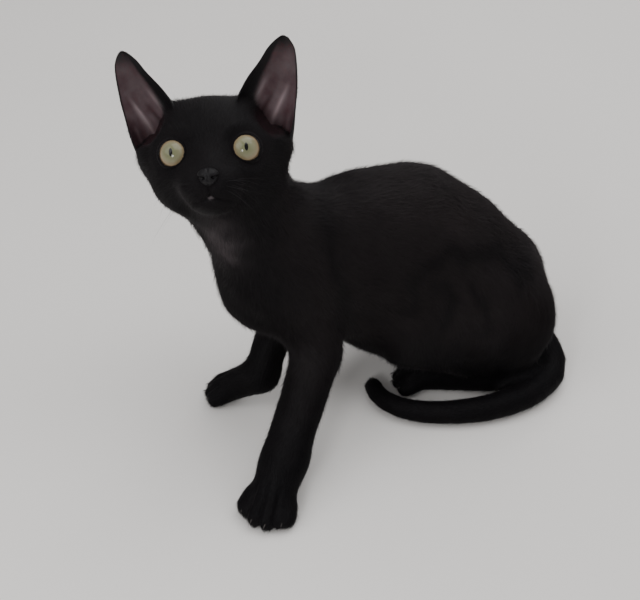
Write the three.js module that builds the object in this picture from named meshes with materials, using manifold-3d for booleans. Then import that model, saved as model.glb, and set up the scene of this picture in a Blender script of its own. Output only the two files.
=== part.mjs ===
// Devon rex kitten, life size, sitting half turned with its tail laid round its left side.
// Millimetres, +Z up. The hips face -Y, the cat's left is +X, and the floor is z = 0.
import * as THREE from "three";
import Module from "manifold-3d";
import { MarchingCubes } from "three/addons/objects/MarchingCubes.js";
import { mergeVertices } from "three/addons/utils/BufferGeometryUtils.js";

const wasm = await Module();
wasm.setup();

// Gap between two pieces that meet, and how far a resting piece is flattened by the floor
const GAP = 0.3;
const FLOOR_SINK = 1.2;

// Places of the joints under the coat
const at = (x, y, z) => new THREE.Vector3(x, y, z);
const skullBase = at(41, -85, 175);
const neckBase = at(38, -64, 136);
const chestCentre = at(36, -50, 106);
const ribsCentre = at(16, -8, 105);
const sternum = at(46, -69, 99.5);
const bellyCentre = at(3, 30, 89.5);
const flankCentre = at(17, 8, 57);
const loinCentre = at(0, 62, 84);
const rumpCentre = at(0, 90, 54);
const front = {
  left: {
    blade: at(36, -36, 138),
    shoulder: at(54, -52, 108),
    elbow: at(64, -32, 62),
    wrist: at(121.5, -53, 26),
    toes: at(141.5, -62, 9),
    thick: 16.5,
    paw: 38,
    outwards: at(0.891, 0.454, 0),
  },
  right: {
    blade: at(12, -48, 136),
    shoulder: at(20, -74, 108),
    elbow: at(14, -52, 72),
    wrist: at(46, -70, 26),
    toes: at(40, -96, 9),
    thick: 14.5,
    paw: 30,
    outwards: at(-0.891, -0.454, 0),
  },
};
const hind = {
  left: {
    hip: at(24, 84, 52),
    knee: at(39, 28, 46),
    heel: at(34, 88, 12),
    toes: at(31, 34, 11),
    paw: 32,
  },
  right: {
    hip: at(-24, 84, 52),
    knee: at(-39, 28, 46),
    heel: at(-34, 86, 12),
    toes: at(-36, 26, 9),
    paw: 27,
  },
};
const tailRoute = [
  at(2, 98, 40),
  at(8, 120, 24),
  at(27, 129, 12),
  at(47, 115, 10),
  at(62, 88, 9.2),
  at(67, 56, 8.2),
  at(63, 27, 7.6),
  at(51, 10.5, 7),
  at(39, 5.5, 6.7),
  at(28, 4, 6.6),
];
const TAIL_BASE_RADIUS = 15;
const TAIL_TIP_RADIUS = 6.6;
const TAIL_TAPER = 0.7;

// The head's own frame: origin between the eyes, +X its left, -Y forwards, +Z up
const HEAD_ORIGIN = at(61.5, -89.3, 207.6);
const HEAD_SCALE = 1.04;
const HEAD_TURN = THREE.MathUtils.degToRad(91);
const HEAD_LIFT = THREE.MathUtils.degToRad(-31.8);
const HEAD_LEAN = THREE.MathUtils.degToRad(-2.8);
const EYE_SPREAD = 18.3;
const EYE_HEIGHT = -2.1;
const EYE_DEPTH = 7.6;
const EYE_RADIUS = 9.2;
const SIDES = { left: 1, right: -1 };

const headPose = new THREE.Matrix4()
  .makeTranslation(HEAD_ORIGIN.x, HEAD_ORIGIN.y, HEAD_ORIGIN.z)
  .multiply(new THREE.Matrix4().makeRotationZ(HEAD_TURN))
  .multiply(new THREE.Matrix4().makeRotationX(HEAD_LIFT))
  .multiply(new THREE.Matrix4().makeRotationY(HEAD_LEAN))
  .multiply(new THREE.Matrix4().makeScale(HEAD_SCALE, HEAD_SCALE, HEAD_SCALE));
const headInverse = headPose.clone().invert();

// Distance fields: each gives the signed distance from a point to a mass of the body

function ellipsoid(centre, radii, yaw = 0) {
  const c = Math.cos(yaw);
  const s = Math.sin(yaw);
  return (p) => {
    const dx = p.x - centre.x;
    const dy = p.y - centre.y;
    const x = (c * dx + s * dy) / radii.x;
    const y = (c * dy - s * dx) / radii.y;
    const z = (p.z - centre.z) / radii.z;
    const k = Math.hypot(x, y, z);
    const slope = Math.hypot(x / radii.x, y / radii.y, z / radii.z);
    return slope > 0 ? (k * (k - 1)) / slope : -Math.min(radii.x, radii.y, radii.z);
  };
}

function limb(a, b, radiusA, radiusB) {
  const axis = b.clone().sub(a);
  const lengthSquared = axis.lengthSq();
  return (p) => {
    const dx = p.x - a.x;
    const dy = p.y - a.y;
    const dz = p.z - a.z;
    const along = (dx * axis.x + dy * axis.y + dz * axis.z) / lengthSquared;
    const t = Math.min(1, Math.max(0, along));
    const away = Math.hypot(dx - t * axis.x, dy - t * axis.y, dz - t * axis.z);
    return away - (radiusA + (radiusB - radiusA) * t);
  };
}

function blend(softness, ...fields) {
  return (p) => {
    let nearest = fields[0](p);
    for (let i = 1; i < fields.length; i += 1) {
      const next = fields[i](p);
      const overlap = Math.max(softness - Math.abs(nearest - next), 0) / softness;
      nearest = Math.min(nearest, next) - (overlap * overlap * softness) / 4;
    }
    return nearest;
  };
}

// A smooth hole is a field turned inside out, blended with the holes and turned back
function carved(softness, field, ...holes) {
  const space = blend(softness, (p) => -field(p), ...holes);
  return (p) => -space(p);
}

// The masses of the trunk and neck
const TURN_CHEST = THREE.MathUtils.degToRad(27);
const TURN_RIBS = THREE.MathUtils.degToRad(14);
const trunk = blend(
  22,
  ellipsoid(chestCentre, at(33, 36, 42), TURN_CHEST),
  ellipsoid(sternum, at(22, 22, 24), TURN_CHEST),
  ellipsoid(ribsCentre, at(39, 44, 55), TURN_RIBS),
  ellipsoid(bellyCentre, at(44, 46, 69)),
  ellipsoid(flankCentre, at(24, 30, 29)),
  ellipsoid(loinCentre, at(40, 40.5, 48)),
  ellipsoid(rumpCentre, at(38, 36, 44)),
);
const neck = limb(skullBase, neckBase, 30.5, 34.5);

function foreleg(leg) {
  const arm = blend(
    12,
    limb(leg.blade, leg.shoulder, 15, 21),
    limb(leg.shoulder, leg.elbow, 21, 13.5),
  );
  return blend(8, arm, limb(leg.elbow, leg.wrist, leg.thick, leg.thick - 2));
}

function thigh(leg) {
  const side = Math.sign(leg.knee.x);
  return blend(
    14,
    ellipsoid(at(side * 27, 78, 54), at(24, 50, 44)),
    ellipsoid(at(side * 28, 100, 20), at(15, 17, 25)),
    limb(leg.hip, leg.knee, 26, 17),
  );
}

function shank(leg) {
  return limb(leg.knee, leg.heel, 13, 8);
}

// A paw: the pad of the foot and four toes in a shallow arc
function paw(root, toes, width) {
  const ahead = toes.clone().sub(root).setZ(0).normalize();
  const across = at(-ahead.y, ahead.x, 0);
  const toeRadius = width * 0.2;
  const masses = [limb(root, toes, width * 0.4, width * 0.37)];
  for (let i = 0; i < 4; i += 1) {
    const spread = i - 1.5;
    const reach = width * (0.34 - spread * spread * 0.07);
    const start = toes.clone().addScaledVector(across, spread * width * 0.2);
    const end = start.clone().addScaledVector(across, spread * width * 0.04);
    start.z = toeRadius + 2;
    end.addScaledVector(ahead, reach);
    end.z = toeRadius - FLOOR_SINK;
    masses.push(limb(start, end, toeRadius, toeRadius * 0.9));
  }
  return blend(3, ...masses);
}

const fields = {};
for (const side of Object.keys(SIDES)) {
  const fore = front[side];
  fields[`fore_${side}`] = blend(6, foreleg(fore), paw(fore.wrist, fore.toes, fore.paw));
  fields[`thigh_${side}`] = blend(10, thigh(hind[side]), shank(hind[side]));
  fields[`foot_${side}`] = paw(hind[side].heel, hind[side].toes, hind[side].paw);
}
fields.body = blend(
  14,
  trunk,
  neck,
  fields.fore_left,
  fields.fore_right,
  fields.thigh_left,
  fields.thigh_right,
);

// The masses of the head, in the head's own frame, each by its middle and radii
const single = (middle, radii) => [ellipsoid(at(...middle), at(...radii))];
const twin = ([x, y, z], radii) => [x, -x].map((across) => ellipsoid(at(across, y, z), at(...radii)));
const HEAD_SOFTNESS = 8;
const headMasses = {
  skull: twin([8, 29, 3], [25, 29, 25]),
  forehead: single([0, 17, 8], [17, 16, 15]),
  temples: twin([29.5, 36, 0], [11.8, 14, 15]),
  cheeks: twin([16, 24, -14], [20, 22, 20]),
  orbits: twin([18.5, 13, -1.5], [13, 12, 13]),
  bridge: [limb(at(0, 13, 5), at(0, -7, -13), 10.5, 7.5)],
  upperLip: twin([9, 7, -14], [12, 13, 11]),
  muzzle: single([0, -1, -20], [13.5, 14, 10]),
  whiskerPads: twin([7, -7, -20], [8, 8, 7]),
  chin: single([0, -1, -29], [10.5, 12, 7]),
  earRoots: twin([22, 36, 13], [10, 8, 12]),
  earBaseLeft: single([34.5, 27, 0], [9.8, 12, 13]),
  earBaseRight: single([-32.5, 27, 0], [9.8, 12, 12]),
};
const EAR_HOLLOW = { middle: [34.5, 21, 18], radii: [10.5, 15, 13], softness: 2 };
const headShape = carved(
  EAR_HOLLOW.softness,
  blend(HEAD_SOFTNESS, ...Object.values(headMasses).flat()),
  ...twin(EAR_HOLLOW.middle, EAR_HOLLOW.radii),
);
const headLocal = at(0, 0, 0);
fields.head = (p) => HEAD_SCALE * headShape(headLocal.copy(p).applyMatrix4(headInverse));
fields.whole = blend(10, fields.body, fields.head);

// Surfaces: a field is sampled on a cube of cells, polygonised, then evened out on the field

const MOST_TRIANGLES = 60000;

function surface(field, { middle, reach, cell }) {
  const margin = 3;
  const size = Math.ceil((2 * reach) / cell) + 2 * margin;
  const half = size / 2;
  const cubes = new MarchingCubes(size, undefined, false, false, MOST_TRIANGLES);
  const limit = reach + cell / 3;
  const inCube = (p) => {
    const edge = Math.max(
      Math.abs(p.x - middle.x),
      Math.abs(p.y - middle.y),
      Math.abs(p.z - middle.z),
    );
    return Math.max(field(p), edge - limit);
  };
  const p = at(0, 0, 0);
  const offGrid = 0.03 * cell;
  for (let z = 0; z < size; z += 1) {
    for (let y = 0; y < size; y += 1) {
      for (let x = 0; x < size; x += 1) {
        p.set(x - half, y - half, z - half).multiplyScalar(cell).add(middle);
        const d = inCube(p);
        cubes.setCell(x, y, z, -(Math.abs(d) < offGrid ? Math.sign(d || 1) * offGrid : d));
      }
    }
  }
  cubes.isolation = 0;
  cubes.update();
  const weld = 1e-3;
  const corners = new Float32Array(cubes.count * 3);
  for (let i = 0; i < corners.length; i += 1) {
    corners[i] = cubes.positionArray[i] * half + weld / 2;
  }
  let geometry = new THREE.BufferGeometry();
  geometry.setAttribute("position", new THREE.BufferAttribute(corners, 3));
  geometry = mergeVertices(geometry, weld);
  geometry.scale(cell, cell, cell);
  geometry.translate(middle.x, middle.y, middle.z);
  return evenOut(geometry, inCube, cell);
}

// Each corner moves towards the mean of its neighbours and back onto the field
const EVENING = { rounds: 4, share: 0.5, settles: 2, steepest: 0.25 };

function evenOut(geometry, field, cell) {
  const position = geometry.attributes.position;
  const index = geometry.index.array;
  const neighbours = Array.from({ length: position.count }, () => new Set());
  for (let i = 0; i < index.length; i += 3) {
    for (let k = 0; k < 3; k += 1) {
      neighbours[index[i + k]].add(index[i + ((k + 1) % 3)]);
      neighbours[index[i + k]].add(index[i + ((k + 2) % 3)]);
    }
  }
  const step = cell / 20;
  const p = at(0, 0, 0);
  const q = at(0, 0, 0);
  const slope = at(0, 0, 0);
  for (let round = 0; round < EVENING.rounds; round += 1) {
    const moved = new Float32Array(position.array.length);
    for (let v = 0; v < position.count; v += 1) {
      q.set(0, 0, 0);
      for (const n of neighbours[v]) {
        q.x += position.getX(n);
        q.y += position.getY(n);
        q.z += position.getZ(n);
      }
      q.divideScalar(neighbours[v].size);
      p.fromBufferAttribute(position, v).lerp(q, EVENING.share);
      for (let settle = 0; settle < EVENING.settles; settle += 1) {
        const d = field(p);
        slope.x = field(q.copy(p).setX(p.x + step)) - d;
        slope.y = field(q.copy(p).setY(p.y + step)) - d;
        slope.z = field(q.copy(p).setZ(p.z + step)) - d;
        slope.divideScalar(step);
        p.addScaledVector(slope, -d / Math.max(slope.lengthSq(), EVENING.steepest));
      }
      moved.set([p.x, p.y, p.z], 3 * v);
    }
    position.array.set(moved);
  }
  return geometry;
}

// The same surface moved out by a little over the gap, to cut room for it in its neighbours
const ROOM = GAP * 1.2;

function grown(geometry) {
  const wider = geometry.clone();
  wider.computeVertexNormals();
  const { position, normal } = wider.attributes;
  const p = at(0, 0, 0);
  const n = at(0, 0, 0);
  for (let i = 0; i < position.count; i += 1) {
    p.fromBufferAttribute(position, i);
    p.addScaledVector(n.fromBufferAttribute(normal, i), ROOM);
    position.setXYZ(i, p.x, p.y, p.z);
  }
  return wider;
}

// Solids: joined and cut by manifold-3d

function solid(geometry) {
  geometry.deleteAttribute("normal");
  geometry.deleteAttribute("uv");
  const merged = mergeVertices(geometry, 1e-4);
  const triVerts = [];
  const index = merged.index.array;
  for (let i = 0; i < index.length; i += 3) {
    const [a, b, c] = [index[i], index[i + 1], index[i + 2]];
    if (a !== b && b !== c && c !== a) {
      triVerts.push(a, b, c);
    }
  }
  return new wasm.Manifold(
    new wasm.Mesh({
      numProp: 3,
      vertProperties: new Float32Array(merged.attributes.position.array),
      triVerts: new Uint32Array(triVerts),
    }),
  );
}

function largest(shape) {
  return shape.decompose().reduce((a, b) => (b.volume() > a.volume() ? b : a));
}

// A box that holds all of space past a plane
const WIDEST = 600;

function beyond(point, normal, gap = GAP) {
  const box = new THREE.BoxGeometry(WIDEST, WIDEST, WIDEST);
  box.translate(0, 0, WIDEST / 2 + gap / 2);
  const turn = new THREE.Quaternion().setFromUnitVectors(at(0, 0, 1), normal.clone().normalize());
  box.applyQuaternion(turn);
  box.translate(point.x, point.y, point.z);
  return solid(box);
}

const cat = new THREE.Group();
cat.name = "devon_rex_cat";
const coat = { color: 0x1d1a1c, roughness: 0.75, metalness: 0 };
const bareSkin = { color: 0x9a7d80, roughness: 0.6, metalness: 0 };
const leather = { color: 0x2a2628, roughness: 0.5, metalness: 0 };
const iris = { color: 0xcfd0a2, roughness: 0.1, metalness: 0 };

function addNode(name, shape, finish) {
  const mesh = shape.getMesh();
  const geometry = new THREE.BufferGeometry();
  geometry.setAttribute("position", new THREE.BufferAttribute(mesh.vertProperties, 3));
  geometry.setIndex(new THREE.BufferAttribute(mesh.triVerts, 1));
  geometry.computeVertexNormals();
  const node = new THREE.Mesh(geometry, new THREE.MeshStandardMaterial(finish));
  node.name = name;
  cat.add(node);
}

// Cutting shapes: a ball squashed to three radii, and a round bar from joint to joint

function egg(centre, radii, yaw = 0) {
  const ball = new THREE.SphereGeometry(1, 14, 10);
  ball.scale(radii.x, radii.y, radii.z);
  ball.rotateZ(yaw);
  ball.translate(centre.x, centre.y, centre.z);
  return solid(ball);
}

function bar(a, b, radius) {
  const axis = b.clone().sub(a);
  const capsule = new THREE.CapsuleGeometry(radius, axis.length(), 2, 9);
  const turn = new THREE.Quaternion().setFromUnitVectors(at(0, 1, 0), axis.clone().normalize());
  capsule.applyQuaternion(turn);
  const middle = a.clone().lerp(b, 0.5);
  capsule.translate(middle.x, middle.y, middle.z);
  return solid(capsule);
}

// Where the body is parted: each plane has a point and a normal
const inHead = (x, y, z) => at(x, y, z).applyMatrix4(headPose);
const headNormal = at(0, -0.648, 0.762).transformDirection(headPose);
const neckNormal = skullBase.clone().sub(neckBase).normalize();
const partings = {
  head: [inHead(0, 36, -19), headNormal],
  neck: [at(39, -65, 144), neckNormal],
  waist: [at(8, 14, 100), at(-0.15, 0.99, 0)],
  hips: [at(0, 64, 74), at(0, 0.82, -0.57)],
};
const above = ([point, normal]) => beyond(point, normal);
const below = ([point, normal]) => beyond(point, normal.clone().negate());
const aboveFloor = beyond(at(0, 0, 0), at(0, 0, 1), 0);

// An ear: a thin cup whose sections are arcs, open towards the front and a little outwards.
// Each section, at equal steps up the ear, has its middle, its half width and its depth.
const EAR = { foot: -4, tip: 58, rim: 15, lean: 7, heel: 11, wall: 1.7, facing: at(0.28, -0.96, 0.1) };
const EAR_WRAP = { foot: 145, fall: 100 };
const EAR_UP = { top: 0.985, crowding: 1.35, heel: 0.4, round: 0.86, thinner: 0.35 };
const earSections = new THREE.CatmullRomCurve3([
  at(36, 8, 9),
  at(33, 13.2, 13),
  at(31.2, 15.6, 14.3),
  at(34.2, 13.8, 11.5),
  at(39.1, 9.4, 7),
  at(42.4, 5, 2.6),
]);
const EAR_STEPS = { across: 8, up: 9 };
// The left ear is pricked wide open, the right one turned out and a little lower
const EAR_POSE = {
  left: { breadth: 1.12, out: 1, drop: 0 },
  right: { breadth: 1, out: 1.8, drop: 2 },
};

function ear(side, pose) {
  const box = new THREE.BoxGeometry(2, 1, 1, EAR_STEPS.across, 1, EAR_STEPS.up);
  const position = box.attributes.position;
  const facing = at(side * EAR.facing.x, EAR.facing.y, EAR.facing.z).normalize();
  const across = at(0, 0, 0).crossVectors(at(0, 0, 1), facing).normalize();
  const section = at(0, 0, 0);
  for (let i = 0; i < position.count; i += 1) {
    const u = position.getX(i);
    const inner = position.getY(i) < 0;
    const up = EAR_UP.top * (1 - (0.5 - position.getZ(i)) ** EAR_UP.crowding);
    earSections.getPoint(up, section);
    const past = Math.max(0, up - EAR_UP.round) / (1 - EAR_UP.round);
    const round = Math.sqrt(1 - past ** 2);
    const wall = inner ? EAR.wall * (1 - EAR_UP.thinner * up) : 0;
    const wrap = THREE.MathUtils.degToRad(EAR_WRAP.foot - EAR_WRAP.fall * up);
    const halfWidth = section.y * round * pose.breadth;
    const wide = Math.max(halfWidth - wall, halfWidth * 0.3) / Math.sin(Math.min(wrap, Math.PI / 2));
    const deep = Math.max(section.z - wall, 0.5);
    const height = EAR.foot + (EAR.tip - pose.drop - EAR.foot) * up;
    const heel = EAR.heel * Math.max(0, 1 - up / EAR_UP.heel) ** 2;
    const middle = section.x + pose.out * up;
    const spot = at(side * middle, EAR.rim + EAR.lean * up + heel, height);
    spot.addScaledVector(across, wide * Math.sin(u * wrap));
    spot.addScaledVector(facing, -deep * (Math.cos(u * wrap) - Math.cos(wrap)));
    position.setXYZ(i, spot.x, spot.y, spot.z);
  }
  box.applyMatrix4(headPose);
  return solid(box);
}

// The tail: a turned profile bent along its route
const tailCurve = new THREE.CatmullRomCurve3(tailRoute, false, "centripetal");
const TAIL_RINGS = 22;
const TAIL_SIDES = 10;
const TAIL_ROUNDS_FROM = 0.96;

function tailSolid() {
  const length = tailCurve.getLength();
  const profile = [new THREE.Vector2(0, 0)];
  for (let i = 0; i <= TAIL_RINGS; i += 1) {
    const t = i / TAIL_RINGS;
    const taper = TAIL_BASE_RADIUS + (TAIL_TIP_RADIUS - TAIL_BASE_RADIUS) * t ** TAIL_TAPER;
    const past = Math.max(0, t - TAIL_ROUNDS_FROM) / (1 - TAIL_ROUNDS_FROM);
    const round = Math.sqrt(1 - past ** 2);
    if (round > 0) {
      profile.push(new THREE.Vector2(taper * round, t * length));
    }
  }
  profile.push(new THREE.Vector2(0, length));
  const lathe = new THREE.LatheGeometry(profile, TAIL_SIDES);
  const position = lathe.attributes.position;
  for (let i = 0; i < position.count; i += 1) {
    const t = Math.min(1, position.getY(i) / length);
    const centre = tailCurve.getPointAt(t);
    const along = tailCurve.getTangentAt(t);
    const sideways = at(-along.y, along.x, 0).normalize();
    const upwards = at(0, 0, 0).crossVectors(along, sideways).negate();
    centre.addScaledVector(sideways, position.getX(i));
    centre.addScaledVector(upwards, position.getZ(i));
    position.setXYZ(i, centre.x, centre.y, centre.z);
  }
  return solid(lathe);
}

// Eye, its place and the way it looks, in the head's own frame
const EYE_SLANT = { out: 0.16, up: 0.06 };
const LID = { ring: 7.5, thick: 1.5, ahead: 5.3, flare: 2, inset: 0.6, deep: 16, sides: 14 };
const eyeCentre = (side) => at(side * EYE_SPREAD, EYE_DEPTH, EYE_HEIGHT);
const gaze = (side) => at(side * EYE_SLANT.out, -1, EYE_SLANT.up).normalize();

function ball(centre, radius, across = 14, up = 9) {
  const sphere = new THREE.SphereGeometry(radius, across, up);
  sphere.translate(centre.x, centre.y, centre.z);
  return solid(sphere.applyMatrix4(headPose));
}

function lids(side) {
  const ring = new THREE.TorusGeometry(LID.ring, LID.thick, 5, LID.sides);
  const turn = new THREE.Quaternion().setFromUnitVectors(at(0, 0, 1), gaze(side));
  ring.applyQuaternion(turn);
  const place = eyeCentre(side).addScaledVector(gaze(side), LID.ahead);
  ring.translate(place.x, place.y, place.z);
  return solid(ring.applyMatrix4(headPose));
}

// The opening between the lids: a round hole from the eye out to the front
function lidOpening(side) {
  const [outer, inner] = [LID.ring + LID.flare, LID.ring - LID.inset];
  const hole = new THREE.CylinderGeometry(outer, inner, LID.deep, LID.sides);
  hole.translate(0, LID.deep / 2 + LID.ahead - LID.flare, 0);
  const turn = new THREE.Quaternion().setFromUnitVectors(at(0, 1, 0), gaze(side));
  hole.applyQuaternion(turn);
  const place = eyeCentre(side);
  hole.translate(place.x, place.y, place.z);
  return solid(hole.applyMatrix4(headPose));
}

// Points of the face found by walking back from in front of it, in the head's own frame
const WALK = { from: -40, steps: 60, share: 0.7 };

function onFace(x, z) {
  const p = at(x, WALK.from, z);
  for (let i = 0; i < WALK.steps; i += 1) {
    p.y += headShape(p) * WALK.share;
  }
  return p;
}

// A thin round bead laid along the face, to be joined as a lip or cut as a crease
function bead(places, radius, lift = 0) {
  const points = places.map(([x, z]) => onFace(x, z).add(at(0, -lift, 0)));
  const curve = new THREE.CatmullRomCurve3(points, false, "centripetal");
  const round = new THREE.Shape().absarc(0, 0, radius, 0, Math.PI * 2);
  const tube = new THREE.ExtrudeGeometry(round, { steps: 7, curveSegments: 2, extrudePath: curve });
  return solid(tube.applyMatrix4(headPose));
}

const MOUTH = { height: -25.2, half: 10, drop: 3 };
const LIP = { radius: 0.95, lift: -0.45, apart: 1.1 };
const mouthLine = (shift) => [-1, -0.66, -0.33, 0, 0.33, 0.66, 1].map((t) => {
  const drop = MOUTH.drop * Math.sin((Math.PI / 2) * Math.min(1, Math.abs(t) * 1.3));
  return [t * MOUTH.half, MOUTH.height - drop + shift];
});
const philtrum = [[0, -20], [0, -22], [0, MOUTH.height]];

// The nose leather: a rounded pad, wide above and narrow below, with two nostrils
const NOSE = { height: -16, proud: 1.2, halfWidth: 7, halfDepth: 4.2, halfHeight: 4.6, narrowing: 0.22 };
const NOSTRIL = { across: 3.3, drop: 0.8, ahead: 2.6, turn: 0.5, radii: at(1.9, 3, 1.2) };

function nosePad() {
  const pad = new THREE.SphereGeometry(1, 10, 8);
  const position = pad.attributes.position;
  for (let i = 0; i < position.count; i += 1) {
    const z = position.getZ(i);
    const width = NOSE.halfWidth * (1 - NOSE.narrowing * (1 - z));
    position.setXYZ(i, position.getX(i) * width, position.getY(i) * NOSE.halfDepth, z * NOSE.halfHeight);
  }
  pad.translate(0, onFace(0, NOSE.height).y + NOSE.proud, NOSE.height);
  return solid(pad.applyMatrix4(headPose));
}

function nostril(side) {
  const hole = new THREE.SphereGeometry(1, 8, 6);
  hole.scale(NOSTRIL.radii.x, NOSTRIL.radii.y, NOSTRIL.radii.z);
  hole.rotateY(side * NOSTRIL.turn);
  const face = onFace(0, NOSE.height).y;
  hole.translate(side * NOSTRIL.across, face - NOSTRIL.ahead, NOSE.height - NOSTRIL.drop);
  return solid(hole.applyMatrix4(headPose));
}

// Each surface is sampled round a middle, out to a reach, in cells of a size
const SPAN = {
  head: { middle: inHead(0, 22, -4), reach: 62, cell: 4.7 },
  neck: { middle: at(42, -74, 158), reach: 60, cell: 10.5 },
  chest: { middle: at(30, -32, 100), reach: 95, cell: 15.5 },
  belly: { middle: at(3, 45, 90), reach: 95, cell: 15.5 },
  rump: { middle: at(0, 85, 60), reach: 95, cell: 15.5 },
  arm: { reach: 90, cell: 9.5 },
  forepaw: { reach: 42, cell: 5.2 },
  thigh: { reach: 66, cell: 12.5 },
  hindfoot: { reach: 52, cell: 5.6 },
};
const skin = (span) => surface(fields.whole, span);
const rested = (geometry) => solid(geometry).intersect(aboveFloor);
const whole = (span) => rested(skin(span));

// Head, with its lids, lips and creases, and the sockets of the eyes
const CREASE = { radius: 0.8, lift: 0.4 };
const GROOVE = { radius: 0.6, lift: 0.2 };
const headSkin = skin(SPAN.head);
let headSolid = solid(headSkin.clone()).intersect(above(partings.head));
for (const lip of [LIP.apart, -LIP.apart]) {
  headSolid = headSolid.add(bead(mouthLine(lip), LIP.radius, LIP.lift));
}
headSolid = headSolid.subtract(bead(mouthLine(0), CREASE.radius, CREASE.lift));
headSolid = headSolid.subtract(bead(philtrum, GROOVE.radius, GROOVE.lift));
const headSpace = solid(grown(headSkin));
for (const [name, side] of Object.entries(SIDES)) {
  headSolid = headSolid.subtract(lidOpening(side)).add(lids(side));
  headSolid = headSolid.subtract(ball(eyeCentre(side), EYE_RADIUS + GAP));
  addNode(`eye_${name}`, ball(eyeCentre(side), EYE_RADIUS), iris);
  addNode(`ear_${name}`, largest(ear(side, EAR_POSE[name]).subtract(headSpace)), bareSkin);
}
const nose = nosePad().subtract(nostril(1)).subtract(nostril(-1)).subtract(headSpace);
addNode("nose", largest(nose), leather);
addNode("head", largest(headSolid), coat);
const neckSolid = whole(SPAN.neck).intersect(below(partings.head)).intersect(above(partings.neck));
addNode("neck", largest(neckSolid), coat);

// Trunk: chest, belly and rump, which lose the room of the legs
const trunkSolid = {
  chest: whole(SPAN.chest).intersect(below(partings.neck)).intersect(below(partings.waist)),
  belly: whole(SPAN.belly).intersect(above(partings.waist)).intersect(below(partings.hips)),
};
const rumpSkin = skin(SPAN.rump);
trunkSolid.rump = rested(rumpSkin.clone()).intersect(above(partings.hips)).intersect(above(partings.waist));
let tailRoom = solid(grown(rumpSkin));

// The outline that a foreleg draws on the chest, and how thick a bar holds all of its lower length
const SHOULDER = { down: 0.45, out: 12, radii: at(32, 27, 48), forearm: 26, paw: 32 };
// The outline that a thigh draws on the flank
const HAUNCH = { middle: at(38, 68, 50), radii: at(27, 60, 52), skin: at(30, 66, 50) };
const wider = (radii, by) => radii.clone().addScalar(by);

function armRegion(leg, by) {
  const middle = leg.shoulder.clone().lerp(leg.elbow, SHOULDER.down);
  middle.addScaledVector(leg.outwards, SHOULDER.out);
  return egg(middle, wider(SHOULDER.radii, by), TURN_CHEST)
    .add(bar(leg.elbow, leg.wrist, SHOULDER.forearm + by))
    .add(bar(leg.wrist, leg.toes, SHOULDER.paw + by));
}

function thighRegion(side, by) {
  const { x, y, z } = HAUNCH.middle;
  return egg(at(side * x, y, z), wider(HAUNCH.radii, by));
}

// Forelegs: upper arm, forearm and paw, parted across the elbow and the wrist
let claimed = null;
for (const name of Object.keys(SIDES)) {
  const leg = front[name];
  const armWay = leg.elbow.clone().sub(leg.shoulder).normalize();
  const forearmWay = leg.wrist.clone().sub(leg.elbow).normalize();
  const elbow = [leg.elbow, armWay.add(forearmWay)];
  const wrist = [leg.wrist.clone().lerp(leg.toes, 0.15), leg.toes.clone().sub(leg.wrist)];
  let region = armRegion(leg, 0);
  region = claimed ? region.subtract(claimed) : region;
  const middle = leg.elbow.clone().lerp(leg.wrist, 0.2);
  const arm = whole({ ...SPAN.arm, middle }).intersect(region);
  const paw = whole({ ...SPAN.forepaw, middle: leg.toes }).intersect(region);
  addNode(`upperarm_${name}`, largest(arm.intersect(below(elbow))), coat);
  addNode(`forearm_${name}`, largest(arm.intersect(above(elbow)).intersect(below(wrist))), coat);
  addNode(`forepaw_${name}`, largest(paw.intersect(above(wrist))), coat);
  claimed = armRegion(leg, GAP);
  trunkSolid.chest = trunkSolid.chest.subtract(claimed);
}

// Hind legs: thigh and foot
for (const [name, side] of Object.entries(SIDES)) {
  const footMiddle = at(hind[name].toes.x, 56, 12);
  const footSkin = surface(fields[`foot_${name}`], { ...SPAN.hindfoot, middle: footMiddle });
  const footSpace = solid(grown(footSkin));
  const { x, y, z } = HAUNCH.skin;
  const thighSkin = skin({ ...SPAN.thigh, middle: at(side * x, y, z) });
  const leg = rested(thighSkin.clone()).intersect(thighRegion(side, 0)).subtract(footSpace);
  tailRoom = tailRoom.add(solid(grown(thighSkin))).add(footSpace);
  addNode(`thigh_${name}`, largest(leg), coat);
  addNode(`hindfoot_${name}`, largest(rested(footSkin.clone())), coat);
  for (const part of Object.keys(trunkSolid)) {
    trunkSolid[part] = trunkSolid[part].subtract(thighRegion(side, GAP)).subtract(footSpace);
  }
}
for (const [name, shape] of Object.entries(trunkSolid)) {
  addNode(name, largest(shape), coat);
}

// Tail, in three lengths, growing from the rump
const tail = largest(tailSolid().intersect(aboveFloor).subtract(tailRoom));
const tailCuts = [0.34, 0.67].map((t) => [tailCurve.getPointAt(t), tailCurve.getTangentAt(t)]);
const tailStart = [at(0, 90, 0), at(0, 1, 0)];
addNode("tail_base", largest(tail.intersect(below(tailCuts[0])).intersect(above(tailStart))), coat);
addNode("tail_middle", largest(tail.intersect(above(tailCuts[0])).intersect(below(tailCuts[1]))), coat);
addNode("tail_tip", largest(tail.intersect(above(tailCuts[1]))), coat);

// The part's origin: the middle of its box, at floor level
const box = new THREE.Box3().setFromObject(cat);
const middle = box.getCenter(at(0, 0, 0));
for (const node of cat.children) {
  node.geometry.translate(-middle.x, -middle.y, -box.min.z);
}

export default cat;
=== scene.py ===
"""Devon rex kitten: skin, ears, eyes, nose, whiskers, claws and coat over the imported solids."""

import math

import bmesh
import bpy
import numpy as np
from mathutils import Matrix, Vector
from mathutils.bvhtree import BVHTree


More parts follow.
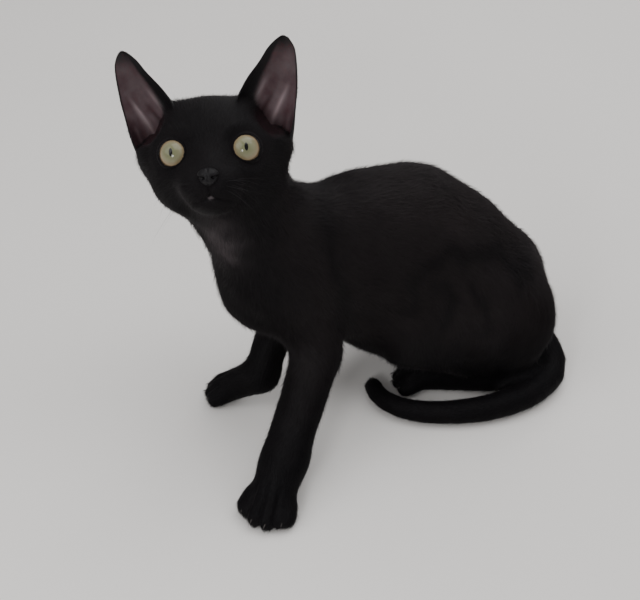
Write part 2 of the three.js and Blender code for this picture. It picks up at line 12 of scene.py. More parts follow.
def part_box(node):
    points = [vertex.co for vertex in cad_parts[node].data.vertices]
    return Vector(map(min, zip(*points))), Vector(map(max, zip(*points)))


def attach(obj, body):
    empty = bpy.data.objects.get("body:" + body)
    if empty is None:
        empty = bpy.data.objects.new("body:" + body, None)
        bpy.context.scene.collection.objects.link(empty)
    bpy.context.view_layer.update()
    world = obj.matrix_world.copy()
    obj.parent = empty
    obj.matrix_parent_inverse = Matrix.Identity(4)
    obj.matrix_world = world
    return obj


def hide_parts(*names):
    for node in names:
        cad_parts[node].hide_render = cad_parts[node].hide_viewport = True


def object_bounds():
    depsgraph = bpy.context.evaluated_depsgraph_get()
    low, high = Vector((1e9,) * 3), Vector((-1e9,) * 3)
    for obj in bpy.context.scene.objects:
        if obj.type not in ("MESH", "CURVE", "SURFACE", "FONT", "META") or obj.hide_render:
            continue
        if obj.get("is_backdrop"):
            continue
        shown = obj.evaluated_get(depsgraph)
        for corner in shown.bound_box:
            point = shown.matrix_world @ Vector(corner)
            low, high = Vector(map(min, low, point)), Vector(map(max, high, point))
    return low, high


bl_info = {
    "name": "Devon Rex Kitten",
    "version": (1, 0, 0),
    "blender": (4, 5, 0),
    "location": "View3D > Sidebar > Kitten",
    "description": "Models the skin, ears, eyes and short coat of a sitting kitten",
    "category": "Object",
}

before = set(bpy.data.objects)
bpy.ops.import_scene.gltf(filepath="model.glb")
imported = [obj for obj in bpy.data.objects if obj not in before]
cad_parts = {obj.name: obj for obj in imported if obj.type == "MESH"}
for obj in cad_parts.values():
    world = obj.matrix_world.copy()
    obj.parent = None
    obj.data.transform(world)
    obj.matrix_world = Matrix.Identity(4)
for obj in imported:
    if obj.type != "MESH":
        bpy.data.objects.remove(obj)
CAD_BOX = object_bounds()
MM = 0.001
SEED = 20
SIDES = {"left": 1.0, "right": -1.0}
BARE_NODES = ("nose", "ear_left", "ear_right")

# Where the head's own frame stands in the kitten's frame: a place in millimetres, and its size and turns
HEAD_ORIGIN = (61.5, -89.3, 207.6)
HEAD_SCALE = 1.04
HEAD_TURN = math.radians(91)
HEAD_LIFT = math.radians(-31.8)
HEAD_LEAN = math.radians(-2.8)

# Places and sizes on the head, in millimetres of its own frame
EYE_SPREAD = 18.3
EYE_HEIGHT = -2.1
EYE_DEPTH = 7.6
EYE_RADIUS = 9.2
EYE_OPENING = 7.5
GAZE_OUT = 0.16
GAZE_UP = 0.06
NOSE_HEIGHT = -16.0
MOUTH_HEIGHT = -25.2
MOUTH_HALF = 10.0
MOUTH_DROP = 3.0
HEAD_MIDDLE = (0, 20, 0)
# Distances from the middle of the head between which the head passes into the neck
HEAD_REACH = (47, 37)
# The face ends this far back, to each side, down and up
FACE_BACK = 12
FACE_SIDE = 34
FACE_DOWN = -38
FACE_UP = 12
HOLLOW_MIDDLE = (34.5, 21.0, 18.0)
HOLLOW_RADII = (10.5, 15.0, 13.0)

# Places of the limbs in the kitten's frame, in millimetres
LIMBS = {
    "foreleg_left": ((54, -52, 108), (64, -32, 62), (121.5, -53, 26), (141.5, -62, 9)),
    "foreleg_right": ((20, -74, 108), (14, -52, 72), (46, -70, 26), (40, -96, 9)),
    "hind_left": ((36, 100, 70), (46, 60, 40), (34, 88, 12), (31, 34, 11)),
    "hind_right": ((-36, 100, 70), (-46, 60, 40), (-34, 86, 12), (-36, 26, 9)),
    "tail": (
        *((2, 98, 40), (8, 120, 24), (26, 128, 12), (47, 113, 10), (62, 88, 9.2)),
        *((67, 56, 8.2), (63, 27, 7.6), (51, 10.5, 7), (39, 5.5, 6.7), (28, 4, 6.6)),
    ),
}
PAW_WIDTH = {"foreleg_left": 38.0, "foreleg_right": 30.0, "hind_left": 32.0, "hind_right": 27.0}

# Which way the hair points: places on the body and directions, in the kitten's frame
BODY_LIE = (
    ((38, -60, 160), (-0.2, 0.6, -0.8)),
    ((58, -78, 150), (0.1, -0.1, -1.0)),
    ((60, -86, 112), (0.0, 0.0, -1.0)),
    ((50, -88, 84), (-0.1, 0.2, -1.0)),
    ((28, -42, 150), (-0.35, 0.9, -0.1)),
    ((60, -40, 122), (0.0, 0.55, -0.85)),
    ((8, 10, 152), (-0.1, 1.0, 0.0)),
    ((0, 60, 132), (0.0, 1.0, -0.3)),
    ((0, 100, 96), (0.0, 0.75, -0.65)),
    ((0, 124, 58), (0.0, 0.15, -1.0)),
    ((48, 5, 105), (0.0, 0.85, -0.5)),
    ((44, 40, 105), (0.0, 0.85, -0.5)),
    ((46, 15, 65), (0.0, 0.8, -0.6)),
    ((-20, -20, 100), (0.0, 0.85, -0.5)),
    ((-44, 30, 100), (0.0, 0.85, -0.5)),
    ((52, 80, 70), (0.0, 0.55, -0.8)),
    ((-52, 80, 70), (0.0, 0.55, -0.8)),
    ((50, 35, 50), (0.0, 0.3, -0.95)),
    ((-50, 35, 50), (0.0, 0.3, -0.95)),
    ((0, 40, 48), (0.0, 0.9, -0.1)),
)

# The same on the head, in the head's own frame; each one is mirrored to the other side too
HEAD_LIE = (
    ((0, -16, -9), (0.1, 0.5, 0.85)),
    ((0, -9, 2), (0.1, 0.45, 0.9)),
    ((0, -2, 14), (0.1, 0.6, 0.8)),
    ((0, 22, 29), (0.0, 1.0, 0.1)),
    ((0, 52, 12), (0.0, 0.5, -0.85)),
    ((17, 2, 12), (0.35, 0.5, 0.8)),
    ((32, 8, -2), (0.75, 0.65, -0.1)),
    ((28, 2, -14), (0.75, 0.5, -0.5)),
    ((17, -4, -12), (0.8, 0.2, -0.5)),
    ((7, -17, -18), (0.9, 0.25, -0.35)),
    ((8, -14, -26), (0.6, 0.5, -0.7)),
    ((0, -14, -31), (0.0, 0.35, -0.95)),
    ((16, 4, -32), (0.2, 0.7, -0.7)),
    ((36, 28, -8), (0.4, 0.85, -0.4)),
    ((30, 30, 22), (0.3, 0.8, 0.5)),
)


def kitten_frame():
    """The move from the kitten's own frame to the part's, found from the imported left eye."""
    low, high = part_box("eye_left")
    head = (
        Matrix.Translation(HEAD_ORIGIN)
        @ Matrix.Rotation(HEAD_TURN, 4, "Z")
        @ Matrix.Rotation(HEAD_LIFT, 4, "X")
        @ Matrix.Rotation(HEAD_LEAN, 4, "Y")
        @ Matrix.Scale(HEAD_SCALE, 4)
    )
    eye = head @ Vector((EYE_SPREAD, EYE_DEPTH, EYE_HEIGHT)) * MM
    body = Matrix.Translation((low + high) / 2 - eye) @ Matrix.Scale(MM, 4)
    return body, body @ head


BODY_POSE, HEAD_POSE = kitten_frame()


# Arrays of points


def moved(matrix, points):
    """Points as an array, carried by a 4 x 4 matrix."""
    m = np.array(matrix)
    return np.asarray(points, float) @ m[:3, :3].T + m[:3, 3]


def turned(matrix, directions):
    """Directions carried by a matrix and made unit length."""
    return unit(np.asarray(directions, float) @ np.array(matrix)[:3, :3].T)


def unit(rows):
    return rows / np.maximum(np.linalg.norm(rows, axis=-1, keepdims=True), 1e-12)


def ramp(low, high, value):
    """Smooth step from 0 at low to 1 at high."""
    t = np.clip((value - low) / (high - low), 0, 1)
    return t * t * (3 - 2 * t)


def bell(points, centre, radii):
    """1 at the centre, fading to 0 about one radius away."""
    away = (np.asarray(points) - centre) / radii
    return np.exp(-1.5 * (away**2).sum(1))


def bell_1d(value, centre, radius):
    return np.exp(-1.5 * ((value - centre) / radius) ** 2)


def in_head(points):
    """Points of the part's frame, in the head's own frame."""
    return moved(HEAD_POSE.inverted(), points)


def in_body(points):
    """Points of the part's frame, in the kitten's frame."""
    return moved(BODY_POSE.inverted(), points)


def both_sides(head):
    """Points of the head with those of the right side mirrored to the left."""
    return np.abs(head * (1, 0, 0)) + head * (0, 1, 1)


def above_floor(points, gap):
    """Points raised where they lie less than a gap in millimetres above the floor."""
    points[..., 2] = np.maximum(points[..., 2], gap * MM)
    return points


def layered(first, *layers):
    """A value that each (wanted, share) in turn draws towards its own."""
    value = first
    for wanted, share in layers:
        value = value + (wanted - value) * share
    return value


def read(items, key, width, kind=np.float32):
    """One property of all items of a mesh, a row for each."""
    values = np.empty(len(items) * width, kind)
    items.foreach_get(key, values)
    return values.reshape(-1, width)


def points_of(mesh):
    return read(mesh.vertices, "co", 3).astype(float)


def normals_of(mesh):
    return read(mesh.vertices, "normal", 3).astype(float)


def edges_of(mesh):
    return read(mesh.edges, "vertices", 2, np.int32)


def put_points(mesh, points):
    mesh.vertices.foreach_set("co", points.astype(np.float32).ravel())
    mesh.update()


def smoothed(values, edges, weight, rounds):
    """Each row moves towards the mean of its neighbours, as far as its weight says."""
    count = len(values)
    a, b = edges.T
    ties = np.bincount(a, minlength=count) + np.bincount(b, minlength=count)
    share = 0.5 * weight[:, None]
    values = values.copy()
    for _ in range(rounds):
        mean = np.empty_like(values)
        for k in range(values.shape[1]):
            total = np.bincount(a, values[b, k], count) + np.bincount(b, values[a, k], count)
            mean[:, k] = total / np.maximum(ties, 1)
        values += share * (mean - values)
    return values


def smoothed_in_place(points, edges, weight, rounds):
    """Smooths away facets and gives back the broad form that plain smoothing shrinks."""
    soft = smoothed(points, edges, weight, rounds)
    return soft + smoothed(points - soft, edges, weight, rounds)


def write_attribute(mesh, name, values):
    attribute = mesh.attributes.new(name, "FLOAT", "POINT")
    attribute.data.foreach_set("value", np.asarray(values, np.float32))


# Objects


def new_object(name, mesh, material, slot, *nodes):
    """A finished piece: it rides on the cat's one body and stands for these solids."""
    thing = bpy.data.objects.new(name, mesh)
    bpy.context.scene.collection.objects.link(thing)
    mesh.materials.clear()
    mesh.materials.append(material)
    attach(thing, "root")
    if nodes:
        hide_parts(*nodes)
    return thing


def mesh_from(shape, name, smooth=True):
    mesh = bpy.data.meshes.new(name)
    shape.to_mesh(mesh)
    shape.free()
    if smooth:
        mesh.shade_smooth()
    return mesh


def mesh_on_head(shape, head, name):
    """The mesh of a shape with its points put at places in the head's own frame, faces outwards."""
    for vert, place in zip(shape.verts, moved(HEAD_POSE, head)):
        vert.co = place
    shape.normal_update()
    bmesh.ops.recalc_face_normals(shape, faces=shape.faces)
    return mesh_from(shape, name)


# Materials


class Look:
    """A new Principled material and short ways to add nodes to it."""

    def __init__(self, name, **inputs):
        self.material = bpy.data.materials.new(name)
        self.material.use_nodes = True
        self.nodes = self.material.node_tree.nodes
        self.links = self.material.node_tree.links
        self.shader = self.nodes["Principled BSDF"]
        for key, value in inputs.items():
            self.shader.inputs[key.replace("_", " ")].default_value = value

    def node(self, kind, **settings):
        made = self.nodes.new(kind)
        for key, value in settings.items():
            if key in made.inputs.keys():
                made.inputs[key].default_value = value
            else:
                setattr(made, key, value)
        return made

    def join(self, value, target):
        """Feeds a socket from another one, or with a plain value."""
        if isinstance(value, bpy.types.NodeSocket):
            self.links.new(value, target)
        else:
            target.default_value = value

    def attribute(self, name):
        return self.node("ShaderNodeAttribute", attribute_name=name).outputs["Fac"]

    def noise(self, scale, detail=3.0, stretch=None):
        place = self.node("ShaderNodeTexCoord").outputs["Object"]
        if stretch:
            mapping = self.node("ShaderNodeMapping")
            mapping.inputs["Scale"].default_value = stretch
            self.join(place, mapping.inputs["Vector"])
            place = mapping.outputs["Vector"]
        noise = self.node("ShaderNodeTexNoise", Scale=scale, Detail=detail)
        self.join(place, noise.inputs["Vector"])
        return noise.outputs["Fac"]

    def math(self, operation, *values):
        made = self.node("ShaderNodeMath", operation=operation)
        for socket, value in zip(made.inputs, values):
            self.join(value, socket)
        return made.outputs[0]

    def mix(self, share, first, second):
        """Two colours mixed by a share; the mix node's inputs 6 and 7 and output 2 are its colours."""
        mix = self.node("ShaderNodeMix", data_type="RGBA")
        self.join(share, mix.inputs["Factor"])
        self.join(first, mix.inputs[6])
        self.join(second, mix.inputs[7])
        return mix.outputs[2]

    def steps(self, value, *stops):
        """A colour ramp of (place, colour) stops."""
        node = self.node("ShaderNodeValToRGB")
        elements = node.color_ramp.elements
        while len(elements) < len(stops):
            elements.new(0.5)
        for element, (place, colour) in zip(elements, stops):
            element.position = place
            element.color = colour
        self.join(value, node.inputs["Fac"])
        return node.outputs["Color"]

    def bump(self, height, strength, distance):
        bump = self.node("ShaderNodeBump", Strength=strength, Distance=distance)
        self.join(height, bump.inputs["Height"])
        self.join(bump.outputs["Normal"], self.shader.inputs["Normal"])

    def base(self, colour):
        self.join(colour, self.shader.inputs["Base Color"])


def opaque(colour, factor=1.0):
    """A colour of a property or a row, made lighter or darker, with full cover."""
    return tuple(factor * c for c in colour[:3]) + (1.0,)


def coat_look(name, settings, on_skin):
    """Near black with a brown cast, faint bars, a paler throat and slightly paler tips; painted light on the
    top of the back, painted shade near the floor and in the pits round the ears, and a painted highlight on
    the lower lip.
    """
    look = Look(
        name,
        Roughness=0.7 if on_skin else 0.58,
        Specular_IOR_Level=0.08 if on_skin else 0.13,
        Sheen_Weight=0.03,
        Sheen_Roughness=0.4,
        Sheen_Tint=opaque(settings.cast),
    )
    patches = look.noise(60.0, 3.0)
    warm = look.math("MULTIPLY_ADD", patches, 0.25, look.attribute("warmth_and_painted_light"))
    colour = look.mix(warm, opaque(settings.black), opaque(settings.brown))
    # The throat's paler fur, and the painted highlight on the lower lip in the same colour.
    colour = look.mix(look.attribute("pale_and_lip_highlight"), colour, opaque(settings.throat))
    if on_skin:
        # Painted shade: the bare skin in the pits round the ears takes the ear's shade colour, darkened
        # further.
        colour = look.mix(look.attribute("bare"), colour, opaque(settings.ear_shade, 0.55))
        look.bump(look.noise(900.0, 2.0), 0.6, 0.0006)
    else:
        own = look.math("MULTIPLY", look.attribute("own"), look.attribute("tip"))
        colour = look.mix(look.math("MULTIPLY", own, 0.5), colour, opaque(settings.tips))
    look.base(colour)
    return look.material


# Skin

# How far the solids are swollen to run together, and the skin's least height over the floor, in millimetres
SWELL = 0.9
SKIN_GAP = 0.4
# Rounds of smoothing over the whole skin, and over the face and toes once they are finer
SKIN_ROUNDS = 40
FINE_ROUNDS = 5
# How far the skin lies under the tips of the coat, in millimetres
COAT_DEPTH = {"trunk": 1.4, "head": 0.7, "face": 0.4, "low": 0.8}
# Length and height of the toes, and the place, breadth and depth of the clefts between them
TOE_LENGTH = 26
TOE_HEIGHT = 26
CLEFT_APART = 0.2
CLEFT_RADIUS = 1.5
CLEFT_DEPTH = 1.3
# The lids' height over the eyeball, and how far the skin dips behind the ball's surface inside them
LID_HEIGHT = 0.95
LID_CREASE = 0.35
EYE_DIP = 1.6
# Soft forms of the face, in the head's own frame: height, middle and radii, on both sides
CHIN = (0.6, (0, -12, -31), (7, 8, 4))
FACE_FORMS = (
    (0.9, (7.5, -13, -20.5), (7, 8, 5)),
    (0.7, (17, -1, 9), (9, 9, 4)),
    (-0.9, (9, -8, -8.5), (5, 8, 6)),
)


def flesh_union(voxel, swell):
    """One closed surface round all the solids of flesh, swollen so that they run together."""
    shape = bmesh.new()
    for name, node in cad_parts.items():
        if name not in BARE_NODES:
            shape.from_mesh(node.data)
    bmesh.ops.remove_doubles(shape, verts=shape.verts, dist=1e-6)
    bmesh.ops.recalc_face_normals(shape, faces=shape.faces)
    shape.normal_update()
    for vert in shape.verts:
        vert.co += vert.normal * swell
    rough = bpy.data.objects.new("rough", mesh_from(shape, "rough", smooth=False))
    bpy.context.scene.collection.objects.link(rough)
    remesh = rough.modifiers.new("one skin", "REMESH")
    remesh.mode = "VOXEL"
    remesh.voxel_size = voxel
    depsgraph = bpy.context.evaluated_depsgraph_get()
    mesh = bpy.data.meshes.new_from_object(rough.evaluated_get(depsgraph))
    bpy.data.objects.remove(rough)
    return mesh


def keep_largest_shell(mesh):
    """Drops closed pockets left inside the union."""
    count = len(mesh.vertices)
    edges = edges_of(mesh)
    label = np.arange(count)
    while True:
        low = np.minimum(label[edges[:, 0]], label[edges[:, 1]])
        fresh = label.copy()
        np.minimum.at(fresh, edges[:, 0], low)
        np.minimum.at(fresh, edges[:, 1], low)
        fresh = fresh[fresh]
        if (fresh == label).all():
            break
        label = fresh
    main = np.bincount(label).argmax()
    shape = bmesh.new()
    shape.from_mesh(mesh)
    shape.verts.ensure_lookup_table()
    loose = [shape.verts[i] for i in np.flatnonzero(label != main)]
    bmesh.ops.delete(shape, geom=loose, context="VERTS")
    shape.to_mesh(mesh)
    shape.free()


def coat_depth(points):
    """How far the skin lies under the tips of the coat, in metres."""
    head = in_head(points)
    on_head = near_head(head)
    depth = layered(
        COAT_DEPTH["trunk"],
        (COAT_DEPTH["head"], on_head),
        (COAT_DEPTH["face"], on_head * ramp(10, -4, head[:, 1])),
        (COAT_DEPTH["low"], ramp(60, 15, in_body(points)[:, 2])),
    )
    return depth * MM


def near_head(head):
    """1 on the head and 0 on the neck."""
    return ramp(*HEAD_REACH, np.linalg.norm(head - HEAD_MIDDLE, axis=1))


def refine(mesh, inside):
    """Cuts the faces whose corners all answer inside() into smaller ones."""
    shape = bmesh.new()
    shape.from_mesh(mesh)
    chosen = inside(np.array([v.co for v in shape.verts]))
    faces = {f for f in shape.faces if all(chosen[v.index] for v in f.verts)}
    edges = [e for e in shape.edges if not faces.isdisjoint(e.link_faces)]
    bmesh.ops.subdivide_edges(shape, edges=edges, cuts=1, use_grid_fill=True)
    bmesh.ops.triangulate(shape, faces=[f for f in shape.faces if len(f.verts) > 4])
    shape.to_mesh(mesh)
    shape.free()


def near_face(points):
    x, y, z = in_head(points).T
    return (y < FACE_BACK) & (np.abs(x) < FACE_SIDE) & (z > FACE_DOWN) & (z < FACE_UP)


def paw_frame(name):
    """Middle of the toes, the ways ahead and across, and the width of a paw, in the kitten's frame."""
    root, toes = np.array(LIMBS[name][-2:], float)
    ahead = unit((toes - root) * (1, 1, 0))
    return toes, ahead, np.array((-ahead[1], ahead[0], 0)), PAW_WIDTH[name]


def paw_places(body):
    """For each paw, how far the points lie ahead of its toes and aside of them, and its width."""
    for name in PAW_WIDTH:
        toes, ahead, across, width = paw_frame(name)
        out = body - toes
        yield out @ ahead, out @ across, width


def near_toes(points):
    body = in_body(points)
    near = np.zeros(len(points), bool)
    for along, aside, width in paw_places(body):
        near |= (np.abs(aside) < 0.62 * width) & (along > -8) & (along < TOE_LENGTH)
    return near & (body[:, 2] < TOE_HEIGHT)


def toe_clefts(body):
    """How deep the clefts between the toes lie at each place, from 0 to 1."""
    depth = np.zeros(len(body))
    for along, aside, width in paw_places(body):
        near = ramp(-5, 5, along) * ramp(TOE_LENGTH, 20, along) * (body[:, 2] < TOE_HEIGHT)
        for k in (-1, 0, 1):
            line = k * width * CLEFT_APART * (1 + 0.012 * along)
            depth += bell_1d(aside - line, 0, CLEFT_RADIUS) * near
    return np.minimum(depth, 1)


def eye_axes(side):
    """Middle of an eye, its gaze, and the ways right and up across it, in the head's own frame."""
    centre = np.array((side * EYE_SPREAD, EYE_DEPTH, EYE_HEIGHT))
    gaze = unit(np.array((side * GAZE_OUT, -1.0, GAZE_UP)))
    right = unit(np.cross(gaze, (0, 0, 1)))
    return centre, gaze, right, np.cross(right, gaze)


def from_eye(head, side):
    """Ways from the middle of an eye, how far they go along its gaze, and what lies beside it."""
    centre, gaze, _, _ = eye_axes(side)
    out = head - centre
    along = out @ gaze
    return out, along, out - along[:, None] * gaze


def round_eyes(head):
    """Lids lie on the eyeball down to the opening, and the skin dips behind the ball inside it."""
    for side in SIDES.values():
        out, along, beside = from_eye(head, side)
        across = np.linalg.norm(beside, axis=1)
        reach = np.linalg.norm(out, axis=1)
        lid = EYE_RADIUS + LID_HEIGHT - LID_CREASE * bell_1d(across, 10.6, 0.8)
        wanted = np.where(across > EYE_OPENING, lid, EYE_RADIUS - EYE_DIP)
        share = ramp(13.5, 10.0, across) * (along > 0) * (reach < 18)
        wanted = reach + (wanted - reach) * share
        head = eye_axes(side)[0] + out * (wanted / np.maximum(reach, 1e-6))[:, None]
    return head


def mouth_curve(x):
    """Height of the line of the mouth at each x, in the head's own frame."""
    t = np.minimum(1, 1.3 * np.abs(x) / MOUTH_HALF)
    return MOUTH_HEIGHT - MOUTH_DROP * np.sin(math.pi / 2 * t)


def shape_face(head, normals):
    """Whisker pads, chin, brows, groove under the nose and line of the mouth."""
    height, centre, radii = CHIN
    lift = height * bell(head, centre, radii)
    for height, centre, radii in FACE_FORMS:
        for side in SIDES.values():
            lift += height * bell(head, np.multiply(centre, (side, 1, 1)), radii)
    x, y, z = head.T
    in_front = y < 2
    groove = bell_1d(x, 0, 0.8) * ramp(MOUTH_HEIGHT - 1, MOUTH_HEIGHT, z) * ramp(-17.5, -19.5, z)
    lift -= 0.8 * groove * in_front
    width = ramp(MOUTH_HALF + 1.5, MOUTH_HALF - 2, np.abs(x))
    below = z - mouth_curve(x)
    lift -= 0.9 * bell_1d(below, 0, 0.6) * width * in_front
    lift += 0.4 * bell_1d(below, -1.9, 1.2) * width * in_front
    return head + normals * lift[:, None]


def skin_mesh(settings):
    """The flesh made one skin, shrunk under the coat, then sculpted on the face and toes."""
    mesh = flesh_union(settings.voxel, SWELL * MM)
    keep_largest_shell(mesh)
    points = points_of(mesh)
    fine = np.maximum(near_head(in_head(points)), ramp(34, 22, in_body(points)[:, 2]))
    put_points(mesh, smoothed_in_place(points, edges_of(mesh), 1 - 0.75 * fine, SKIN_ROUNDS))
    points = points_of(mesh)
    points = points - normals_of(mesh) * (SWELL * MM + coat_depth(points))[:, None]
    put_points(mesh, above_floor(points, SKIN_GAP))
    refine(mesh, lambda places: near_face(places) | near_toes(places))
    points = points_of(mesh)
    cut = (near_face(points) | near_toes(points)).astype(float)
    put_points(mesh, smoothed(points, edges_of(mesh), cut, FINE_ROUNDS))
    points = points_of(mesh)
    normals = normals_of(mesh)
    points = points - normals * (CLEFT_DEPTH * MM * toe_clefts(in_body(points)))[:, None]
    head = shape_face(in_head(points), turned(HEAD_POSE.inverted(), normals))
    put_points(mesh, above_floor(moved(HEAD_POSE, round_eyes(head)), SKIN_GAP))
    return mesh


# Dark stripes of the trunk: a run of (y, z) places in the kitten's frame, and a half width
STRIPES = (
    (((-29, 152), (-21, 125), (-16, 98), (-14, 78)), 6.5),
    (((25, 84), (27, 104), (34, 115), (48, 119), (68, 115), (88, 106), (100, 95)), 6.0),
    (((44, 100), (50, 88), (48, 72)), 5.0),
    (((66, 96), (74, 82), (72, 66)), 4.0),
    (((-62, 140), (-56, 120), (-58, 100)), 5.0),
)
# Warmer patches of the body, partly a brown cast and partly painted light on the top of the back and rump,
# and the pale throat, in the kitten's frame: strength, middle and radii
WARM_AND_LIT_PATCHES = (
    (0.3, (32, 54, 132), (40, 13, 12)),
    (0.2, (60, -47, 150), (30, 12, 20)),
    (0.2, (48, 62, 84), (40, 22, 18)),
)
THROAT_MIDDLE = (69, -87, 149)
THROAT_RADII = (17, 14, 18)
# How far below 0 the warmth goes near the floor: painted shade that darkens the coat low down
FLOOR_SHADE = 0.12


def stripe(flat, path, half):
    """Share of a stripe at each (y, z): 1 along its middle, fading to 0 beside it."""
    near = np.full(len(flat), np.inf)
    for a, b in zip(np.array(path[:-1], float), np.array(path[1:], float)):
        t = np.clip((flat - a) @ (b - a) / ((b - a) @ (b - a)), 0, 1)[:, None]
        near = np.minimum(near, np.linalg.norm(flat - a - t * (b - a), axis=1))
    return np.exp(-1.2 * (near / half) ** 2)


def markings(points):
    """Warmth of the coat, from just below 0 to 1, with painted light on the top of the back and painted
    shade near the floor, and paleness of the throat and lip, from 0 to 1; the lip's paleness is a painted
    highlight.
    """
    body = in_body(points)
    head = in_head(points)
    _, y, z = body.T
    trunk = ramp(-70, -30, y) * ramp(40, 75, z) * (1 - near_head(head))
    # Painted light: the coat turns browner and lighter over the top of the back and, in the next line,
    # towards the rump.
    back = 0.25 * ramp(110, 150, z) * ramp(-20, 20, y)
    # Painted shade: under 60 mm over the floor the warmth falls below 0, so the coat is darker towards the
    # floor.
    warmth_and_painted_light = trunk * (0.4 + back + 0.12 * ramp(50, 90, y)) - FLOOR_SHADE * ramp(60, 25, z)
    for strength, centre, radii in WARM_AND_LIT_PATCHES:
        warmth_and_painted_light += strength * bell(body, centre, radii)
    flat = body[:, 1:] + 2.2 * np.stack((waves(points, 0.02, 3), waves(points, 0.02, 4)), axis=1)
    dark = np.zeros(len(points))
    for path, half in STRIPES:
        dark = np.maximum(dark, stripe(flat, path, half))
    warmth_and_painted_light *= 1 - 0.8 * dark * trunk
    throat = bell(body, THROAT_MIDDLE, THROAT_RADII) * (0.85 + 0.3 * waves(points, 0.012, 8))
    # The pale share also holds the painted highlight on the lower lip.
    return np.clip(warmth_and_painted_light, -FLOOR_SHADE, 1), np.clip(np.maximum(throat, 0.8 * lip_highlight(head)), 0, 1)


def lip_highlight(head):
    """A painted highlight: the small pale spot on the middle of the lower lip, from 0 to 1."""
    return ramp(0.3, 0.5, bell(head, (0, -12, MOUTH_HEIGHT - 1.1), (2.3, 8, 1.1)))


def ear_hollow(head):
    """1 on the bare skin in the pits that the ears stand round, 0 outside."""
    away = np.linalg.norm((both_sides(head) - HOLLOW_MIDDLE) / HOLLOW_RADII, axis=1)
    return ramp(1.32, 1.0, away)


def unwrap(thing):
    """A packed unwrap of a surface's own shape, in a map named for the bake."""
    bpy.ops.object.select_all(action="DESELECT")
    thing.select_set(True)
    bpy.context.view_layer.objects.active = thing
    thing.data.uv_layers.new(name="OFBake")
    bpy.ops.object.mode_set(mode="EDIT")
    bpy.ops.mesh.select_all(action="SELECT")
    bpy.ops.uv.smart_project(angle_limit=math.radians(66), island_margin=0.004)
    bpy.ops.object.mode_set(mode="OBJECT")


# Ears

EAR_FOOT = -4.0
EAR_TIP = 58.0
EAR_FACING = (0.28, -0.96, 0.1)
# From foot to tip: the middle of the ear out from the head's middle, half its breadth, and its depth
EAR_ROWS = (
    (36, 8, 9),
    (33, 13.2, 13),
    (31.2, 15.6, 14.3),
    (34.2, 13.8, 11.5),
    (39.1, 9.4, 7),
    (42.4, 5, 2.6),
)
# How far the outer wall lies under the tips of its fur, and the wall's thickness at the foot
EAR_UNDER_FUR = 0.4
EAR_WALL = 1.3
# The left ear is pricked wide open, the right one turned out and a little lower
EAR_BREADTH = {1.0: 1.12, -1.0: 1.0}
EAR_OUT = {1.0: 1.0, -1.0: 1.8}
EAR_DROP = {1.0: 0.0, -1.0: 2.0}
# Heights up the ear, and how far across it the fur of the inner edge reaches at each
BARE_EDGE = ((0.2, 0.3, 0.5, 0.63, 0.75, 0.85, 1.0), (0.05, 0.03, -0.18, -0.28, -0.38, -0.42, -0.45))
# Ridges on the inner skin, and the groove between them: height, lean and start of the line across,
# half width, and the heights up the ear between which it rises and fades
EAR_RIDGES = (
    (1.4, 0.5, -0.45, 0.13, (0.12, 0.24), (0.74, 0.5)),
    (1.3, 1.3, -0.17, 0.1, (0.08, 0.2), (0.64, 0.46)),
    (0.9, 1.2, 0.23, 0.08, (0.05, 0.12), (0.38, 0.26)),
)
EAR_GROOVE = (1.0, 0.9, -0.3, 0.08, (0.13, 0.25), (0.62, 0.44))


def along_rows(rows, v):
    """Smooth values between equally spaced rows, at each v from 0 to 1."""
    rows = np.array(rows, float)
    rows = np.vstack((2 * rows[0] - rows[1], rows, 2 * rows[-1] - rows[-2]))
    place = v * (len(rows) - 3)
    k = np.minimum(place.astype(int), len(rows) - 4)
    t = (place - k)[:, None]
    a, b, c, d = (rows[k + i] for i in range(4))
    return b + 0.5 * t * (c - a + t * (2 * a - 5 * b + 4 * c - d + t * (3 * (b - c) + d - a)))


def ear_surface(side, u, v, inwards):
    """Points of the ear at u from -1 to 1 across and v from 0 to 1 up, moved in by a depth."""
    middle, half, deep = along_rows(EAR_ROWS, v).T
    past = np.maximum(0, v - 0.86) / 0.14
    half = half * EAR_BREADTH[side] * np.sqrt(1 - past**2)
    wrap = np.radians(145 - 100 * v)
    wide = np.maximum(half - inwards, half * 0.3) / np.sin(np.minimum(wrap, math.pi / 2))
    deep = np.maximum(deep - inwards, 0.5)
    facing = unit(np.array(EAR_FACING) * (side, 1, 1))
    across = unit(np.cross((0, 0, 1), facing))
    heel = 11 * np.maximum(0, 1 - v / 0.4) ** 2
    middle = side * (middle + EAR_OUT[side] * v)
    height = EAR_FOOT + (EAR_TIP - EAR_DROP[side] - EAR_FOOT) * v
    spot = np.stack((middle, 15 + 7 * v + heel, height), axis=-1)
    spot = spot + across * (wide * np.sin(u * wrap))[..., None]
    return spot - facing * (deep * (np.cos(u * wrap) - np.cos(wrap)))[..., None]


def ear_line(m, v, height, lean, start, half, rise, fade):
    """Height of a ridge or groove at m, outwards across the ear, and v up it."""
    return height * bell_1d(m, lean * v + start, half) * ramp(*rise, v) * ramp(*fade, v)


